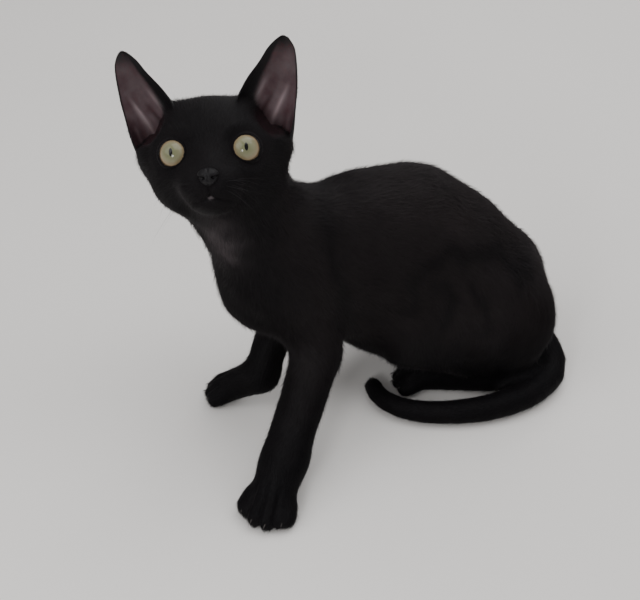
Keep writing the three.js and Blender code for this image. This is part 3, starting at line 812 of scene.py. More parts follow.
def ear_mesh(side, name):
    """A grid bent to the cup, with an inner wall pushed in by the folds."""
    shape = bmesh.new()
    bmesh.ops.create_grid(shape, x_segments=60, y_segments=64, size=1.0)
    flat = np.array([v.co for v in shape.verts])
    u = flat[:, 0]
    m = u * side
    v = 0.998 * (1 - (0.5 - 0.5 * flat[:, 1]) ** 1.55)
    ridges = sum(ear_line(m, v, *row) for row in EAR_RIDGES)
    groove = ear_line(m, v, *EAR_GROOVE)
    outer = moved(HEAD_POSE, ear_surface(side, u, v, EAR_UNDER_FUR))
    thin = np.clip(1.3 - np.abs(u) ** 4, 0.4, 1) * ramp(1.06, 0.9, v)
    wall = EAR_UNDER_FUR + (EAR_WALL - 0.5 * v) * thin
    folds = ridges - 0.6 * groove + 2.0 * ramp(0.2, 0.0, v)
    inner = moved(HEAD_POSE, ear_surface(side, u, v, wall + folds))
    for vert, place in zip(shape.verts, outer):
        vert.co = place
    copied = bmesh.ops.duplicate(shape, geom=list(shape.verts) + list(shape.edges) + list(shape.faces))
    twins = copied["vert_map"]
    for vert, place in zip(list(shape.verts)[: len(flat)], inner):
        twins[vert].co = place
    inner_faces = [f for f in copied["geom"] if isinstance(f, bmesh.types.BMFace)]
    bmesh.ops.reverse_faces(shape, faces=inner_faces)
    rims = [e for e in shape.edges if e.is_boundary]
    bmesh.ops.bridge_loops(shape, edges=rims)
    bmesh.ops.recalc_face_normals(shape, faces=shape.faces)
    mesh = mesh_from(shape, name)
    open_skin = ramp(-0.12, 0.16, m - np.interp(v, *BARE_EDGE)) * ramp(0.995, 0.9, m) * ramp(0.98, 0.8, v)
    bare = open_skin * (1 - 0.5 * ramp(0.4, 0.85, v))
    # Painted shade: redder, darker skin in the groove and towards the foot of the ear.
    deep_shade = np.maximum(groove, 0.9 * bell_1d(m, 0.12, 0.3) * ramp(0.34, 0.16, v))
    deep_shade = np.maximum(deep_shade, 0.9 * ramp(0.46, 0.24, v))
    for key, value in (("bare", bare), ("open", open_skin), ("ridge", ridges), ("deep_shade", deep_shade)):
        write_attribute(mesh, key, np.concatenate((np.zeros(len(u)), value)))
    return mesh


def ear_look(settings):
    """Bare skin with a soft shine, with a painted highlight on the ridges and painted shade, redder, in the
    groove and towards the foot.
    """
    look = Look(
        "ear_skin",
        Roughness=0.58,
        Specular_IOR_Level=0.22,
        Subsurface_Weight=0.12,
        Subsurface_Scale=0.002,
        Subsurface_Radius=(1.0, 0.35, 0.3),
    )
    skin = look.steps(
        look.noise(110.0, 4.0),
        (0.3, opaque(settings.ear_shade, 1.6)),
        (0.7, opaque(settings.ear_skin)),
    )
    # Painted highlight: the skin is paler along the ridges.
    skin = look.mix(look.math("MULTIPLY", look.attribute("ridge"), 0.8), skin, opaque(settings.ear_ridge_highlight))
    # Painted shade in the groove and towards the ear's foot.
    skin = look.mix(look.attribute("deep_shade"), skin, opaque(settings.ear_shade))
    look.base(look.mix(look.attribute("bare"), opaque(settings.black), skin))
    look.bump(look.noise(420.0, 3.0), 0.25, 0.0008)
    return look.material


# Eyes, nose, whiskers

# How far the clear front of the eye stands out, and the wet edge of the lids: its thickness, its place
# outside the opening, its height over the ball, how far it is drawn out, and the way to its inner corner
CORNEA = 0.8
RIM_RADIUS = 0.45
RIM_OUT = 0.35
RIM_HEIGHT = 0.25
RIM_STRETCH = 0.2
RIM_CORNER = {1.0: math.radians(205), -1.0: math.radians(-25)}
# Half the nose leather's size, and its nostrils: depth, middle and radii of a hole and a slit on each side
NOSE_HALF = (6.9, 4.3, 4.7)
NOSTRILS = ((2.8, (3.5, -3.2, -0.6), (1.7, 4.0, 1.15)), (1.4, (5.1, -2.2, 0.3), (1.5, 4.0, 0.7)))
PUPIL_COLOUR = (0.003, 0.003, 0.003)
RIM_COLOUR = (0.006, 0.005, 0.006)
NOSE_COLOURS = ((0.3, (0.004, 0.0036, 0.0044, 1)), (0.75, (0.0085, 0.0076, 0.009, 1)))
WHISKER_COLOUR = (0.012, 0.011, 0.012)
# Radii of whiskers and claws at the root, in millimetres
WHISKER_RADIUS = 0.1
CLAW_RADIUS = 0.6
# A claw's line from its root: (ahead, up) in millimetres
CLAW_BEND = ((0, 0), (1.5, 0.4), (2.7, 0.2), (3.6, -0.4), (4.3, -1.2))


def eye_mesh(side, name):
    """A ball with its pole on the gaze; every point keeps its place seen along the gaze."""
    shape = bmesh.new()
    bmesh.ops.create_uvsphere(shape, u_segments=64, v_segments=48, radius=EYE_RADIUS)
    centre, gaze, right, up = eye_axes(side)
    local = np.array([v.co for v in shape.verts])
    x, y, z = local.T[..., None]
    head = centre + x * right + y * up + (z + CORNEA * ramp(0.55, 1.0, z / EYE_RADIUS)) * gaze
    mesh = mesh_on_head(shape, head, name)
    front = np.where(local[:, 2] > 0, 1.0, 9.0)
    write_attribute(mesh, "sideways", local[:, 0] / EYE_OPENING * front)
    write_attribute(mesh, "upwards", local[:, 1] / EYE_OPENING * front)
    return mesh


def eye_look(settings):
    """Upright slit of a pupil, pale iris with fine spokes, and a dark edge."""
    look = Look(
        "wet_eye",
        Roughness=0.25,
        Specular_IOR_Level=0.1,
        Coat_Weight=0.6,
        Coat_Roughness=0.02,
        Coat_IOR=1.45,
    )
    x = look.attribute("sideways")
    y = look.math("SUBTRACT", look.attribute("upwards"), 0.06)
    squares = look.math("ADD", look.math("POWER", x, 2.0), look.math("POWER", y, 2.0))
    radius = look.math("SQRT", squares)
    spokes = look.node("ShaderNodeTexNoise", Scale=9.0, Detail=4.0, Distortion=0.3)
    around = look.node("ShaderNodeCombineXYZ")
    angle = look.math("ARCTAN2", y, x)
    look.join(look.math("MULTIPLY", angle, 4.0), around.inputs["X"])
    look.join(look.math("MULTIPLY", radius, 0.6), around.inputs["Y"])
    look.join(around.outputs["Vector"], spokes.inputs["Vector"])
    iris = look.steps(
        look.math("MULTIPLY_ADD", spokes.outputs["Fac"], 0.16, radius),
        (0.36, opaque(settings.iris_inner)),
        (0.72, opaque(settings.iris)),
        (0.99, opaque(settings.iris_outer)),
        (1.0, opaque(settings.iris_outer, 0.5)),
    )
    slit = look.math(
        "ADD",
        look.math("POWER", look.math("DIVIDE", x, settings.pupil_width), 2),
        look.math("POWER", look.math("DIVIDE", y, settings.pupil_height), 2),
    )
    fade = {"From Min": 1.25, "From Max": 0.8}
    edge = look.node("ShaderNodeMapRange", interpolation_type="SMOOTHSTEP", **fade)
    look.join(slit, edge.inputs["Value"])
    look.base(look.mix(edge.outputs["Result"], iris, opaque(PUPIL_COLOUR)))
    return look.material


def lid_rim_mesh(side, name):
    """The dark wet edge of the lids: a thin ring round the opening, drawn out at the inner corner."""
    shape = bmesh.new()
    bmesh.ops.create_circle(shape, segments=10, radius=RIM_RADIUS)
    upright = Matrix.Rotation(math.pi / 2, 3, "X")
    bmesh.ops.rotate(shape, verts=shape.verts, cent=(0, 0, 0), matrix=upright)
    bmesh.ops.translate(shape, verts=shape.verts, vec=(EYE_OPENING + RIM_OUT, 0, 0))
    ring = list(shape.verts) + list(shape.edges)
    turn = {"cent": (0, 0, 0), "axis": (0, 0, 1), "angle": math.tau, "steps": 72}
    bmesh.ops.spin(shape, geom=ring, use_merge=True, **turn)
    bmesh.ops.remove_doubles(shape, verts=shape.verts, dist=1e-4)
    centre, gaze, right, up = eye_axes(side)
    local = np.array([v.co for v in shape.verts])
    toward = np.cos(np.arctan2(local[:, 1], local[:, 0]) - RIM_CORNER[side])
    local[:, :2] *= (1 + RIM_STRETCH * ramp(0.9, 1.0, toward))[:, None]
    x, y, z = local.T[..., None]
    height = np.sqrt(np.maximum((EYE_RADIUS + RIM_HEIGHT) ** 2 - x**2 - y**2, 1.0)) + z
    return mesh_on_head(shape, centre + x * right + y * up + height * gaze, name)


def nose_mesh(name):
    """The nose leather: broad above, narrow below, with two comma nostrils and a middle groove."""
    low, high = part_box("nose")
    middle = in_head([(low + high) / 2])[0]
    shape = bmesh.new()
    bmesh.ops.create_uvsphere(shape, u_segments=96, v_segments=72, radius=1.0)
    x, y, z = np.array([v.co for v in shape.verts]).T
    narrowing = (0.78 + 0.22 * z) * (1 - 0.06 * z**2)
    head = np.stack((x * narrowing, y, z), axis=1) * NOSE_HALF
    dent = 0.45 * bell_1d(head[:, 0], 0, 0.6) * (head[:, 1] < 0)
    for side in SIDES.values():
        holes = [
            depth * bell(head, np.multiply(centre, (side, 1, 1)), radii)
            for depth, centre, radii in NOSTRILS
        ]
        dent += np.maximum(*holes)
    return mesh_on_head(shape, head - unit(head) * dent[:, None] + middle, name)


def nose_look():
    look = Look(
        "nose_leather",
        Roughness=0.5,
        Specular_IOR_Level=0.15,
        Coat_Weight=0.04,
        Coat_Roughness=0.3,
    )
    look.base(look.steps(look.noise(300.0, 3.0), *NOSE_COLOURS))
    pebbles = look.node("ShaderNodeTexVoronoi", Scale=1500.0)
    look.join(look.node("ShaderNodeTexCoord").outputs["Object"], pebbles.inputs["Vector"])
    look.bump(pebbles.outputs["Distance"], 0.5, 0.0003)
    return look.material


def hair_mesh(paths, radius, sides, name):
    """Tapering hairs or claws of a few sides, each swept along its own path."""
    shape = bmesh.new()
    for path in paths:
        rings = []
        last = len(path) - 1
        for i, place in enumerate(path):
            along = path[min(i + 1, last)] - path[max(i - 1, 0)]
            turn = along.to_track_quat("Z", "Y").to_matrix().to_4x4()
            size = radius * MM * (1 - 0.85 * i / last)
            pose = Matrix.Translation(place) @ turn
            made = bmesh.ops.create_circle(shape, segments=sides, radius=size, matrix=pose)
            rings.append(list(dict.fromkeys(e for v in made["verts"] for e in v.link_edges)))
        for lower, upper in zip(rings, rings[1:]):
            bmesh.ops.bridge_loops(shape, edges=lower + upper)
        for ring in (rings[0], rings[-1]):
            bmesh.ops.contextual_create(shape, geom=ring)
    bmesh.ops.recalc_face_normals(shape, faces=shape.faces)
    return mesh_from(shape, name)


# Coat

# How far, in metres, a place with a known lie of the hair rules the lie round it
LIE_REACH = 0.012
# Length of the tufts by place, in millimetres
HAIR = {
    "trunk": 6.8,
    "head": 3.2,
    "ear_roots": 6.0,
    "muzzle": 2.0,
    "lids": 1.4,
    "foreleg": 4.6,
    "low": 3.4,
}
# Tufts per square millimetre: on the trunk, how many more on the head and fewer low down, and on the ears
TUFTS = {"trunk": 2.85, "head": 2.4, "low": -1.3, "ear": 3.6}
# A tuft's root: how deep it lies in millimetres, how far back in lengths, and its height in widths
ROOT_DEPTH = 0.25
ROOT_BACK = 0.1
ROOT_HEIGHT = 0.55
# The tip's height over the skin for each unit of rise, in lengths
RISE_SHARE = 0.72
# Least height of the tufts over the floor, and of the places where they grow, in millimetres
HAIR_GAP = 0.15
GROWTH_GAP = 0.8
# Which corners make each face of a tuft, their places on its patch of the bake map, and the patch's size
TUFT_FACES = np.array(((0, 1, 3), (1, 2, 3), (2, 0, 3), (0, 2, 1)))
TUFT_SPREAD = np.array(((0, 0), (1, 0), (0.5, 0.2), (0.5, 1)))
TUFT_TIP = (0, 0, 0, 1)
PATCH = 0.003
TRUNK_PARTS = ("coat_throat", "coat_chest", "coat_shoulders", "coat_ribs", "coat_loin", "coat_haunches")


def lie_strokes():
    """Places and directions of the lie of the coat, in the part's frame."""
    places, ways = [], []
    for place, way in BODY_LIE:
        places.append(moved(BODY_POSE, [place])[0])
        ways.append(turned(BODY_POSE, [way])[0])
    for route in LIMBS.values():
        stops = moved(BODY_POSE, route)
        for a, b in zip(stops, stops[1:]):
            for t in (0.25, 0.75):
                places.append(a + (b - a) * t)
                ways.append(unit(b - a))
    for place, way in HEAD_LIE:
        for side in SIDES.values():
            places.append(moved(HEAD_POSE, [np.multiply(place, (side, 1, 1))])[0])
            ways.append(turned(HEAD_POSE, [np.multiply(way, (side, 1, 1))])[0])
    return np.array(places), np.array(ways)


def lie_at(points, normals):
    """The way hair points at each place, along the skin."""
    places, ways = lie_strokes()
    total = np.zeros_like(points)
    for place, way in zip(places, ways):
        away = ((points - place) ** 2).sum(1) / LIE_REACH**2 + 0.05
        total += way / (away[:, None] ** 1.8)
    head = in_head(points)
    for side in SIDES.values():
        out, _, beside = from_eye(head, side)
        near = ramp(15, 9, np.linalg.norm(out, axis=1))[:, None]
        total = unit(total) * (1 - near) + turned(HEAD_POSE, beside) * near
    along = total - (total * normals).sum(1)[:, None] * normals
    return unit(along)


def waves(points, length, seed):
    """Smooth random values about 0 with waves of about the given length."""
    rng = np.random.default_rng(seed)
    value = np.zeros(len(points))
    for _ in range(6):
        way = unit(rng.normal(size=3)) * math.tau / (length * rng.uniform(0.7, 1.5))
        value += np.sin(points @ way + rng.uniform(0, math.tau))
    return value / 2.5


def ear_roots(head):
    """1 on the crown beside each ear, where the hair is longer and stands up, 0 elsewhere."""
    return bell(both_sides(head), (20, 18, 25), (8, 12, 8))


def hair_length(points):
    """Length of the tufts at each place, in metres: short on face and feet, longest on the trunk."""
    head = in_head(points)
    body = in_body(points)
    eyes = [np.linalg.norm(from_eye(head, side)[0], axis=1) for side in SIDES.values()]
    length = layered(
        HAIR["trunk"],
        (HAIR["head"], near_head(head)),
        (HAIR["ear_roots"], ear_roots(head)),
        (HAIR["muzzle"], ramp(30, 12, np.linalg.norm(head - (0, -12, -16), axis=1))),
        *((HAIR["lids"], ramp(17, 9.5, away)) for away in eyes),
        (HAIR["foreleg"], ramp(80, 40, body[:, 2]) * ramp(-10, -30, body[:, 1])),
        (HAIR["low"], ramp(40, 14, body[:, 2])),
    )
    return length * MM


def tuft_corners(roots, normals, along, shape):
    """Four corners for every tuft: three round its root and the tip."""
    length, width, rise, sway = (shape[key][:, None] for key in ("length", "width", "rise", "sway"))
    side = np.cross(normals, along)
    start = roots - normals * ROOT_DEPTH * MM - along * ROOT_BACK * length
    tip = roots + (along + normals * rise * RISE_SHARE + side * sway) * length
    half = side * 0.5 * width
    upper = start + normals * ROOT_HEIGHT * width
    return above_floor(np.stack((start - half, start + half, upper, tip), axis=1), HAIR_GAP)


def tuft_mesh(name, corners, normals, root_uv, values):
    """One mesh of many closed tufts, with a small patch of the bake map for each."""
    count = len(corners)
    loops = (TUFT_FACES.ravel()[None, :] + 4 * np.arange(count)[:, None]).ravel()
    mesh = bpy.data.meshes.new(name)
    mesh.vertices.add(count * 4)
    mesh.loops.add(len(loops))
    mesh.polygons.add(len(loops) // 3)
    mesh.vertices.foreach_set("co", corners.astype(np.float32).ravel())
    mesh.loops.foreach_set("vertex_index", loops.astype(np.int32))
    mesh.polygons.foreach_set("loop_start", np.arange(0, len(loops), 3, dtype=np.int32))
    mesh.update(calc_edges=True)
    uv = mesh.uv_layers.new(name="OFBake")
    spread = (TUFT_SPREAD[TUFT_FACES.ravel()] - 0.5) * PATCH
    places = (root_uv[:, None, :] + spread[None, :, :]).clip(0, 1)
    uv.data.foreach_set("uv", places.astype(np.float32).ravel())
    write_attribute(mesh, "tip", np.tile(TUFT_TIP, count))
    for key, value in values.items():
        write_attribute(mesh, key, np.repeat(value, 4))
    mesh.shade_smooth()
    if normals is not None:
        mesh.normals_split_custom_set_from_vertices(np.repeat(normals, 4, axis=0))
    return mesh


def scatter(mesh, density, rng):
    """Roots at so many per square metre of a surface: places, normals and places on its bake map."""
    mesh.calc_loop_triangles()
    corners = read(mesh.loop_triangles, "vertices", 3, np.int32)
    loops = read(mesh.loop_triangles, "loops", 3, np.int32)
    uv = read(mesh.uv_layers["OFBake"].data, "uv", 2)
    points = points_of(mesh)
    a, b, c = (points[corners[:, k]] for k in range(3))
    area = 0.5 * np.linalg.norm(np.cross(b - a, c - a), axis=1)
    steps = np.cumsum(area * density[corners].mean(axis=1))
    count = int(steps[-1])
    picks = (np.arange(count) + rng.uniform(size=count)) / count * steps[-1]
    chosen = np.minimum(np.searchsorted(steps, picks), len(corners) - 1)
    r1 = np.sqrt(rng.uniform(size=count))[:, None]
    r2 = rng.uniform(size=count)[:, None]
    shares = np.concatenate((1 - r1, r1 * (1 - r2), r1 * r2), axis=1)[..., None]
    roots = (points[corners[chosen]] * shares).sum(1)
    out = unit((normals_of(mesh)[corners[chosen]] * shares).sum(1))
    return roots, out, (uv[loops[chosen]] * shares).sum(1)


def furred(points):
    """True where tufts grow: not in the eyes, on the nose or lip, nor under the feet."""
    head = in_head(points)
    grows = points[:, 2] > GROWTH_GAP * MM
    for side in SIDES.values():
        _, along, beside = from_eye(head, side)
        grows &= (np.linalg.norm(beside, axis=1) > EYE_OPENING + 0.3) | (along < 0)
    x, y, z = head.T
    above = z - NOSE_HEIGHT
    nose = (np.abs(x) < 5.6 + 0.28 * above) & (np.abs(above) < 4.3) & (y < -8)
    return grows & ~nose & (lip_highlight(head) < 0.5)


def coat_density(points):
    """Tufts per square metre at each place: most on the head, where they are thin."""
    head = in_head(points)
    low = ramp(46, 30, in_body(points)[:, 2])
    tufts = TUFTS["trunk"] + TUFTS["head"] * near_head(head) + TUFTS["low"] * low
    return furred(points) * (1 - 0.85 * ear_hollow(head)) * tufts / MM**2


def grow(roots, normals, along, settings, rng):
    """Length, width, rise and sway of every tuft, and its way over the skin."""
    count = len(roots)
    side = np.cross(normals, along)
    swing = 0.3 * waves(roots, 0.018, 5) + rng.normal(0, 0.14, count)
    along = unit(along * np.cos(swing)[:, None] + side * np.sin(swing)[:, None])
    head = in_head(roots)
    crown = near_head(head) * ramp(12, 24, head[:, 2])
    usual = hair_length(roots) * settings.length
    length = usual * rng.uniform(0.7, 1.25, count)
    stray = np.abs(rng.normal(0, 0.07, count)) + 0.4 * (rng.uniform(size=count) < 0.12)
    shape = {
        "length": length,
        "width": settings.width * np.clip(usual / (7 * MM), 0.7, 1) * rng.uniform(0.75, 1.25, count),
        "rise": 0.13 + 0.4 * crown + 0.5 * ear_roots(head) + 0.05 * waves(roots, 0.02, 9) + stray,
        "sway": rng.normal(0, 0.1, count),
    }
    return along, shape


def coat_meshes(settings):
    """The coat's tufts over the whole skin, parted into pieces by place."""
    rng = np.random.default_rng(SEED)
    skin = bpy.data.objects["skin"].data
    roots, normals, root_uv = scatter(skin, coat_density(points_of(skin)), rng)
    along, shape = grow(roots, normals, lie_at(roots, normals), settings, rng)
    corners = tuft_corners(roots, normals, along, shape)
    soft = unit(normals + rng.normal(0, 0.16, normals.shape))
    warmth_and_painted_light, pale_and_lip_highlight = markings(roots)
    own = rng.uniform(size=len(roots))
    for name, here in coat_parts(roots):
        values = {"warmth_and_painted_light": warmth_and_painted_light[here], "pale_and_lip_highlight": pale_and_lip_highlight[here], "own": own[here]}
        yield name, tuft_mesh(name, corners[here], soft[here], root_uv[here], values)


def coat_parts(roots):
    """Which roots belong to each piece of the coat; the trunk is parted into bands of equal count."""
    head = in_head(roots)
    body = in_body(roots)
    on_head = near_head(head) >= 0.5
    face = on_head & (head[:, 1] < 14)
    low = ~on_head & (body[:, 2] < 38)
    ahead = low & (body[:, 1] < 0)
    yield "coat_face", face
    yield "coat_crown", on_head & ~face
    yield "coat_forefeet", ahead
    yield "coat_tail", low & ~ahead
    trunk = ~on_head & ~low
    ends = np.quantile(body[trunk, 1], np.linspace(0, 1, len(TRUNK_PARTS) + 1))
    band = np.searchsorted(ends[1:-1], body[:, 1])
    for k, name in enumerate(TRUNK_PARTS):
        yield name, trunk & (band == k)


def ear_fur_mesh(side, mesh, name, settings):
    """Short fur on the back of an ear, along its rim and down its inner edge by the forehead."""
    rng = np.random.default_rng(SEED + 2)
    open_skin = read(mesh.attributes["open"].data, "value", 1)[:, 0]
    high = in_head(points_of(mesh))[:, 2] > 2
    density = TUFTS["ear"] / MM**2 * ramp(0.4, 0.15, open_skin) * high
    roots, normals, root_uv = scatter(mesh, density, rng)
    outer = (normals @ turned(HEAD_POSE, [np.multiply(EAR_FACING, (side, 1, 1))])[0])[:, None]
    back = turned(HEAD_POSE, [(side * 0.25, 0, 1)])
    band = turned(HEAD_POSE, [(side * 0.55, -0.1, 0.8)])
    way = np.where(outer > 0, band, back)
    along = unit(way - (way * normals).sum(1)[:, None] * normals)
    along, shape = grow(roots, normals, along, settings, rng)
    up = in_head(roots)[:, 2]
    shape["length"] = (1.9 - 1.1 * ramp(15, 50, up)) * MM * rng.uniform(0.7, 1.2, len(roots))
    shape["width"] = 0.24 * MM * rng.uniform(0.8, 1.2, len(roots))
    shape["rise"] = np.full(len(roots), 0.08)
    blank = np.zeros(len(roots))
    values = {"warmth_and_painted_light": blank - 0.03, "pale_and_lip_highlight": blank, "own": rng.uniform(size=len(roots))}
    return tuft_mesh(name, tuft_corners(roots, normals, along, shape), None, root_uv, values)


# Settings


def tint(name, description, *colour):
    return bpy.props.FloatVectorProperty(name=name, description=description, default=colour, subtype="COLOR")


def number(name, description, value, unit="NONE"):
    return bpy.props.FloatProperty(name=name, description=description, default=value, unit=unit)


class KittenCoat(bpy.types.PropertyGroup):
    """Skin and short coat"""

    voxel: number("Skin mesh", "Spacing of the skin's mesh", 0.0018, "LENGTH")
    length: number("Coat length", "Length of the coat against its usual length", 1.0)
    width: number("Tuft width", "Width of a tuft on the trunk at its root", 0.00035, "LENGTH")
    black: tint("Black", "Main colour of the coat", 0.0025, 0.0021, 0.0028)
    brown: tint("Brown", "Warmer colour of bars and haunches", 0.0215, 0.0168, 0.0174)
    # Also the colour of the painted highlight on the lower lip
    throat: tint("Throat", "Colour of the thin fur on the throat", 0.085, 0.072, 0.076)
    tips: tint("Tips", "Colour of the paler hair ends", 0.014, 0.012, 0.0138)
    cast: tint("Sheen", "Tint of the coat's sheen", 0.5, 0.42, 0.45)
    ear_skin: tint("Ear skin", "Bare skin inside the ears", 0.12, 0.085, 0.092)
    # Painted highlight on the folds inside the ears
    ear_ridge_highlight: tint("Ear ridges", "Paler skin on the folds inside the ears", 0.24, 0.185, 0.195)
    # Darker, redder colour: painted shade in the ears' groove and foot and in the pits round the ears, and
    # part of the skin's mottling
    ear_shade: tint("Ear shade", "Redder skin deep in the ears", 0.042, 0.021, 0.025)
    claw: tint("Claws", "Dark horn of the claws", 0.05, 0.04, 0.038)


class KittenEyes(bpy.types.PropertyGroup):
    """Colours and pupil of the eyes"""

    iris: tint("Iris", "Main colour of the iris", 0.2, 0.19, 0.115)
    iris_inner: tint("Iris by the pupil", "Colour next to the pupil", 0.15, 0.155, 0.085)
    iris_outer: tint("Iris edge", "Colour at the iris's edge", 0.24, 0.17, 0.095)
    pupil_width: number("Pupil width", "Half width against the eye's opening", 0.13)
    pupil_height: number("Pupil height", "Half height against the eye's opening", 0.28)


class KittenStage(bpy.types.PropertyGroup):
    """Camera, floor and lights"""

    lens: number("Lens", "Focal length for a 36 mm wide picture", 56.25)
    light: number("Light", "Strength of all lights together", 1.0)
    floor: tint("Floor", "Colour of the floor", 0.78, 0.76, 0.74)


# The photo's view: the camera's place in the kitten's frame, and its turns in degrees
CAMERA_PLACE = (543, -30, 478)
CAMERA_AZIMUTH = 90
CAMERA_PITCH = 38.1
CAMERA_ROLL = -1.0
SENSOR_WIDTH = 36
# The lamps: name, place in metres, size in metres, and power; all point at the same place
LAMPS = (
    ("key", (0.8, -1.6, 1.8), 2.0, 24),
    ("top", (-0.3, 0.5, 2.0), 2.0, 30),
    ("side", (0.4, 1.8, 1.2), 1.5, 6),
    ("spark", (0.56, -0.22, 0.4), 0.14, 1.3),
    ("back", (-1.7, 0.5, 1.1), 1.6, 9),
)
LAMP_TARGET = (0, 0, 0.1)
SKY_COLOUR = (1.0, 0.98, 0.97)
SKY_STRENGTH = 0.3
FLOOR_HALF = 6.0


# Operators


class KITTEN_OT_skin(bpy.types.Operator):
    """Make one skin over the solids of flesh"""

    bl_idname = "kitten.skin"
    bl_label = "Skin"

    def execute(self, context):
        settings = context.scene.kitten_coat
        mesh = skin_mesh(settings)
        mesh.name = "skin"
        points = points_of(mesh)
        warmth_and_painted_light, pale_and_lip_highlight = markings(points)
        bare = ear_hollow(in_head(points))
        for key, value in (("warmth_and_painted_light", warmth_and_painted_light), ("pale_and_lip_highlight", pale_and_lip_highlight), ("bare", bare)):
            write_attribute(mesh, key, value)
        mesh.shade_smooth()
        flesh = [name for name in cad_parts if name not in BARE_NODES and "eye" not in name]
        look = coat_look("coat_skin", settings, on_skin=True)
        unwrap(new_object("skin", mesh, look, "coat", *flesh))
        return {"FINISHED"}


class KITTEN_OT_ears(bpy.types.Operator):
    """Make the thin ears with their folds"""

    bl_idname = "kitten.ears"
    bl_label = "Ears"

    def execute(self, context):
        look = ear_look(context.scene.kitten_coat)
        for name, side in SIDES.items():
            mesh = ear_mesh(side, f"ear_{name}_shell")
            unwrap(new_object(f"ear_{name}_shell", mesh, look, "ear_skin", f"ear_{name}"))
        return {"FINISHED"}


class KITTEN_OT_eyes(bpy.types.Operator):
    """Make the eyeballs and the dark rims of the lids"""

    bl_idname = "kitten.eyes"
    bl_label = "Eyes"

    def execute(self, context):
        look = eye_look(context.scene.kitten_eyes)
        rim = Look("lid_rim", Roughness=0.55, Base_Color=opaque(RIM_COLOUR)).material
        for name, side in SIDES.items():
            ball = eye_mesh(side, f"eyeball_{name}")
            new_object(f"eyeball_{name}", ball, look, "eye", f"eye_{name}")
            new_object(f"lid_rim_{name}", lid_rim_mesh(side, f"lid_rim_{name}"), rim, "coat")
        return {"FINISHED"}


class KITTEN_OT_nose(bpy.types.Operator):
    """Make the nose leather"""

    bl_idname = "kitten.nose"
    bl_label = "Nose"

    def execute(self, context):
        new_object("nose_pad", nose_mesh("nose_pad"), nose_look(), "nose_leather", "nose")
        return {"FINISHED"}


class KITTEN_OT_whiskers(bpy.types.Operator):
    """Make the whiskers of muzzle and brow"""

    bl_idname = "kitten.whiskers"
    bl_label = "Whiskers"

    def execute(self, context):
        rng = np.random.default_rng(SEED + 1)
        skin = bpy.data.objects["skin"]
        tree = BVHTree.FromObject(skin, context.evaluated_depsgraph_get())
        paths = []
        for side in SIDES.values():
            for row in range(3):
                for column in range(3):
                    start = np.array((side * (8.5 + 2.6 * column), -30.0, -18.5 - 2.2 * row + 0.3 * column))
                    way = (side * (0.85 + 0.1 * column), -0.1 + 0.25 * column, 0.05 - 0.25 * row)
                    paths.append(whisker(tree, start, way, rng.uniform(10, 30), rng))
            for k in range(2):
                start = np.array((side * (15 + 2.5 * k), -30.0, 9.5 + 0.6 * k))
                paths.append(whisker(tree, start, (side * 0.35, -0.25, 0.85), rng.uniform(8, 13), rng))
        paths = [p for p in paths if p is not None]
        mesh = hair_mesh(paths, WHISKER_RADIUS, 5, "whiskers")
        look = Look("whisker", Roughness=0.6, Specular_IOR_Level=0.15, Base_Color=opaque(WHISKER_COLOUR))
        new_object("whiskers", mesh, look.material, "coat")
        return {"FINISHED"}


def whisker(tree, start, way, length, rng):
    """Points of one whisker: it leaves the skin, then bends back and down; None where there is no skin."""
    forwards = Vector(turned(HEAD_POSE, [(0, 1, 0)])[0])
    place, _, _, _ = tree.ray_cast(HEAD_POSE @ Vector(start), forwards)
    if place is None:
        return None
    way = unit(np.array(way) + rng.normal(0, 0.08, 3))
    sag = np.array((0, 0.5, -0.55)) + rng.normal(0, 0.25, 3)
    steps = np.linspace(0, 1, 10)[:, None]
    local = way * (steps * length - 1) + sag * steps**2 * length * 0.6
    return [Vector(p) + place for p in local @ np.array(HEAD_POSE)[:3, :3].T]


class KITTEN_OT_claws(bpy.types.Operator):
    """Make the claws, half drawn in between the hairs of the toes"""

    bl_idname = "kitten.claws"
    bl_label = "Claws"

    def execute(self, context):
        paths = []
        for name in PAW_WIDTH:
            toes, ahead, across, width = paw_frame(name)
            for k in (-1.5, -0.5, 0.5, 1.5):
                reach = width * (0.5 - 0.07 * k * k) - 3.2
                root = toes + across * k * width * 0.235 + ahead * reach
                root[2] = 0.2 * width + 0.6
                paths.append([root + ahead * out + np.array((0, 0, up)) for out, up in CLAW_BEND])
        paths = [[Vector(p) for p in moved(BODY_POSE, path)] for path in paths]
        mesh = hair_mesh(paths, CLAW_RADIUS, 8, "claws")
        look = Look("claw_horn", Roughness=0.35)
        grain = look.noise(800.0, 2.0, (1, 1, 0.3))
        colour = context.scene.kitten_coat.claw
        look.base(look.steps(grain, (0.3, opaque(colour, 0.6)), (0.7, opaque(colour))))
        new_object("claws", mesh, look.material, "coat")
        return {"FINISHED"}


class KITTEN_OT_coat(bpy.types.Operator):
    """Grow the short coat over the skin and the backs of the ears"""

    bl_idname = "kitten.coat"
    bl_label = "Coat"

    def execute(self, context):
        settings = context.scene.kitten_coat
        look = coat_look("coat_hair", settings, on_skin=False)
        for name, mesh in coat_meshes(settings):
            new_object(name, mesh, look, "coat")
        for side_name, side in SIDES.items():
            shell = bpy.data.objects[f"ear_{side_name}_shell"].data
            name = f"coat_ear_{side_name}"
            new_object(name, ear_fur_mesh(side, shell, name, settings), look, "coat")
        return {"FINISHED"}


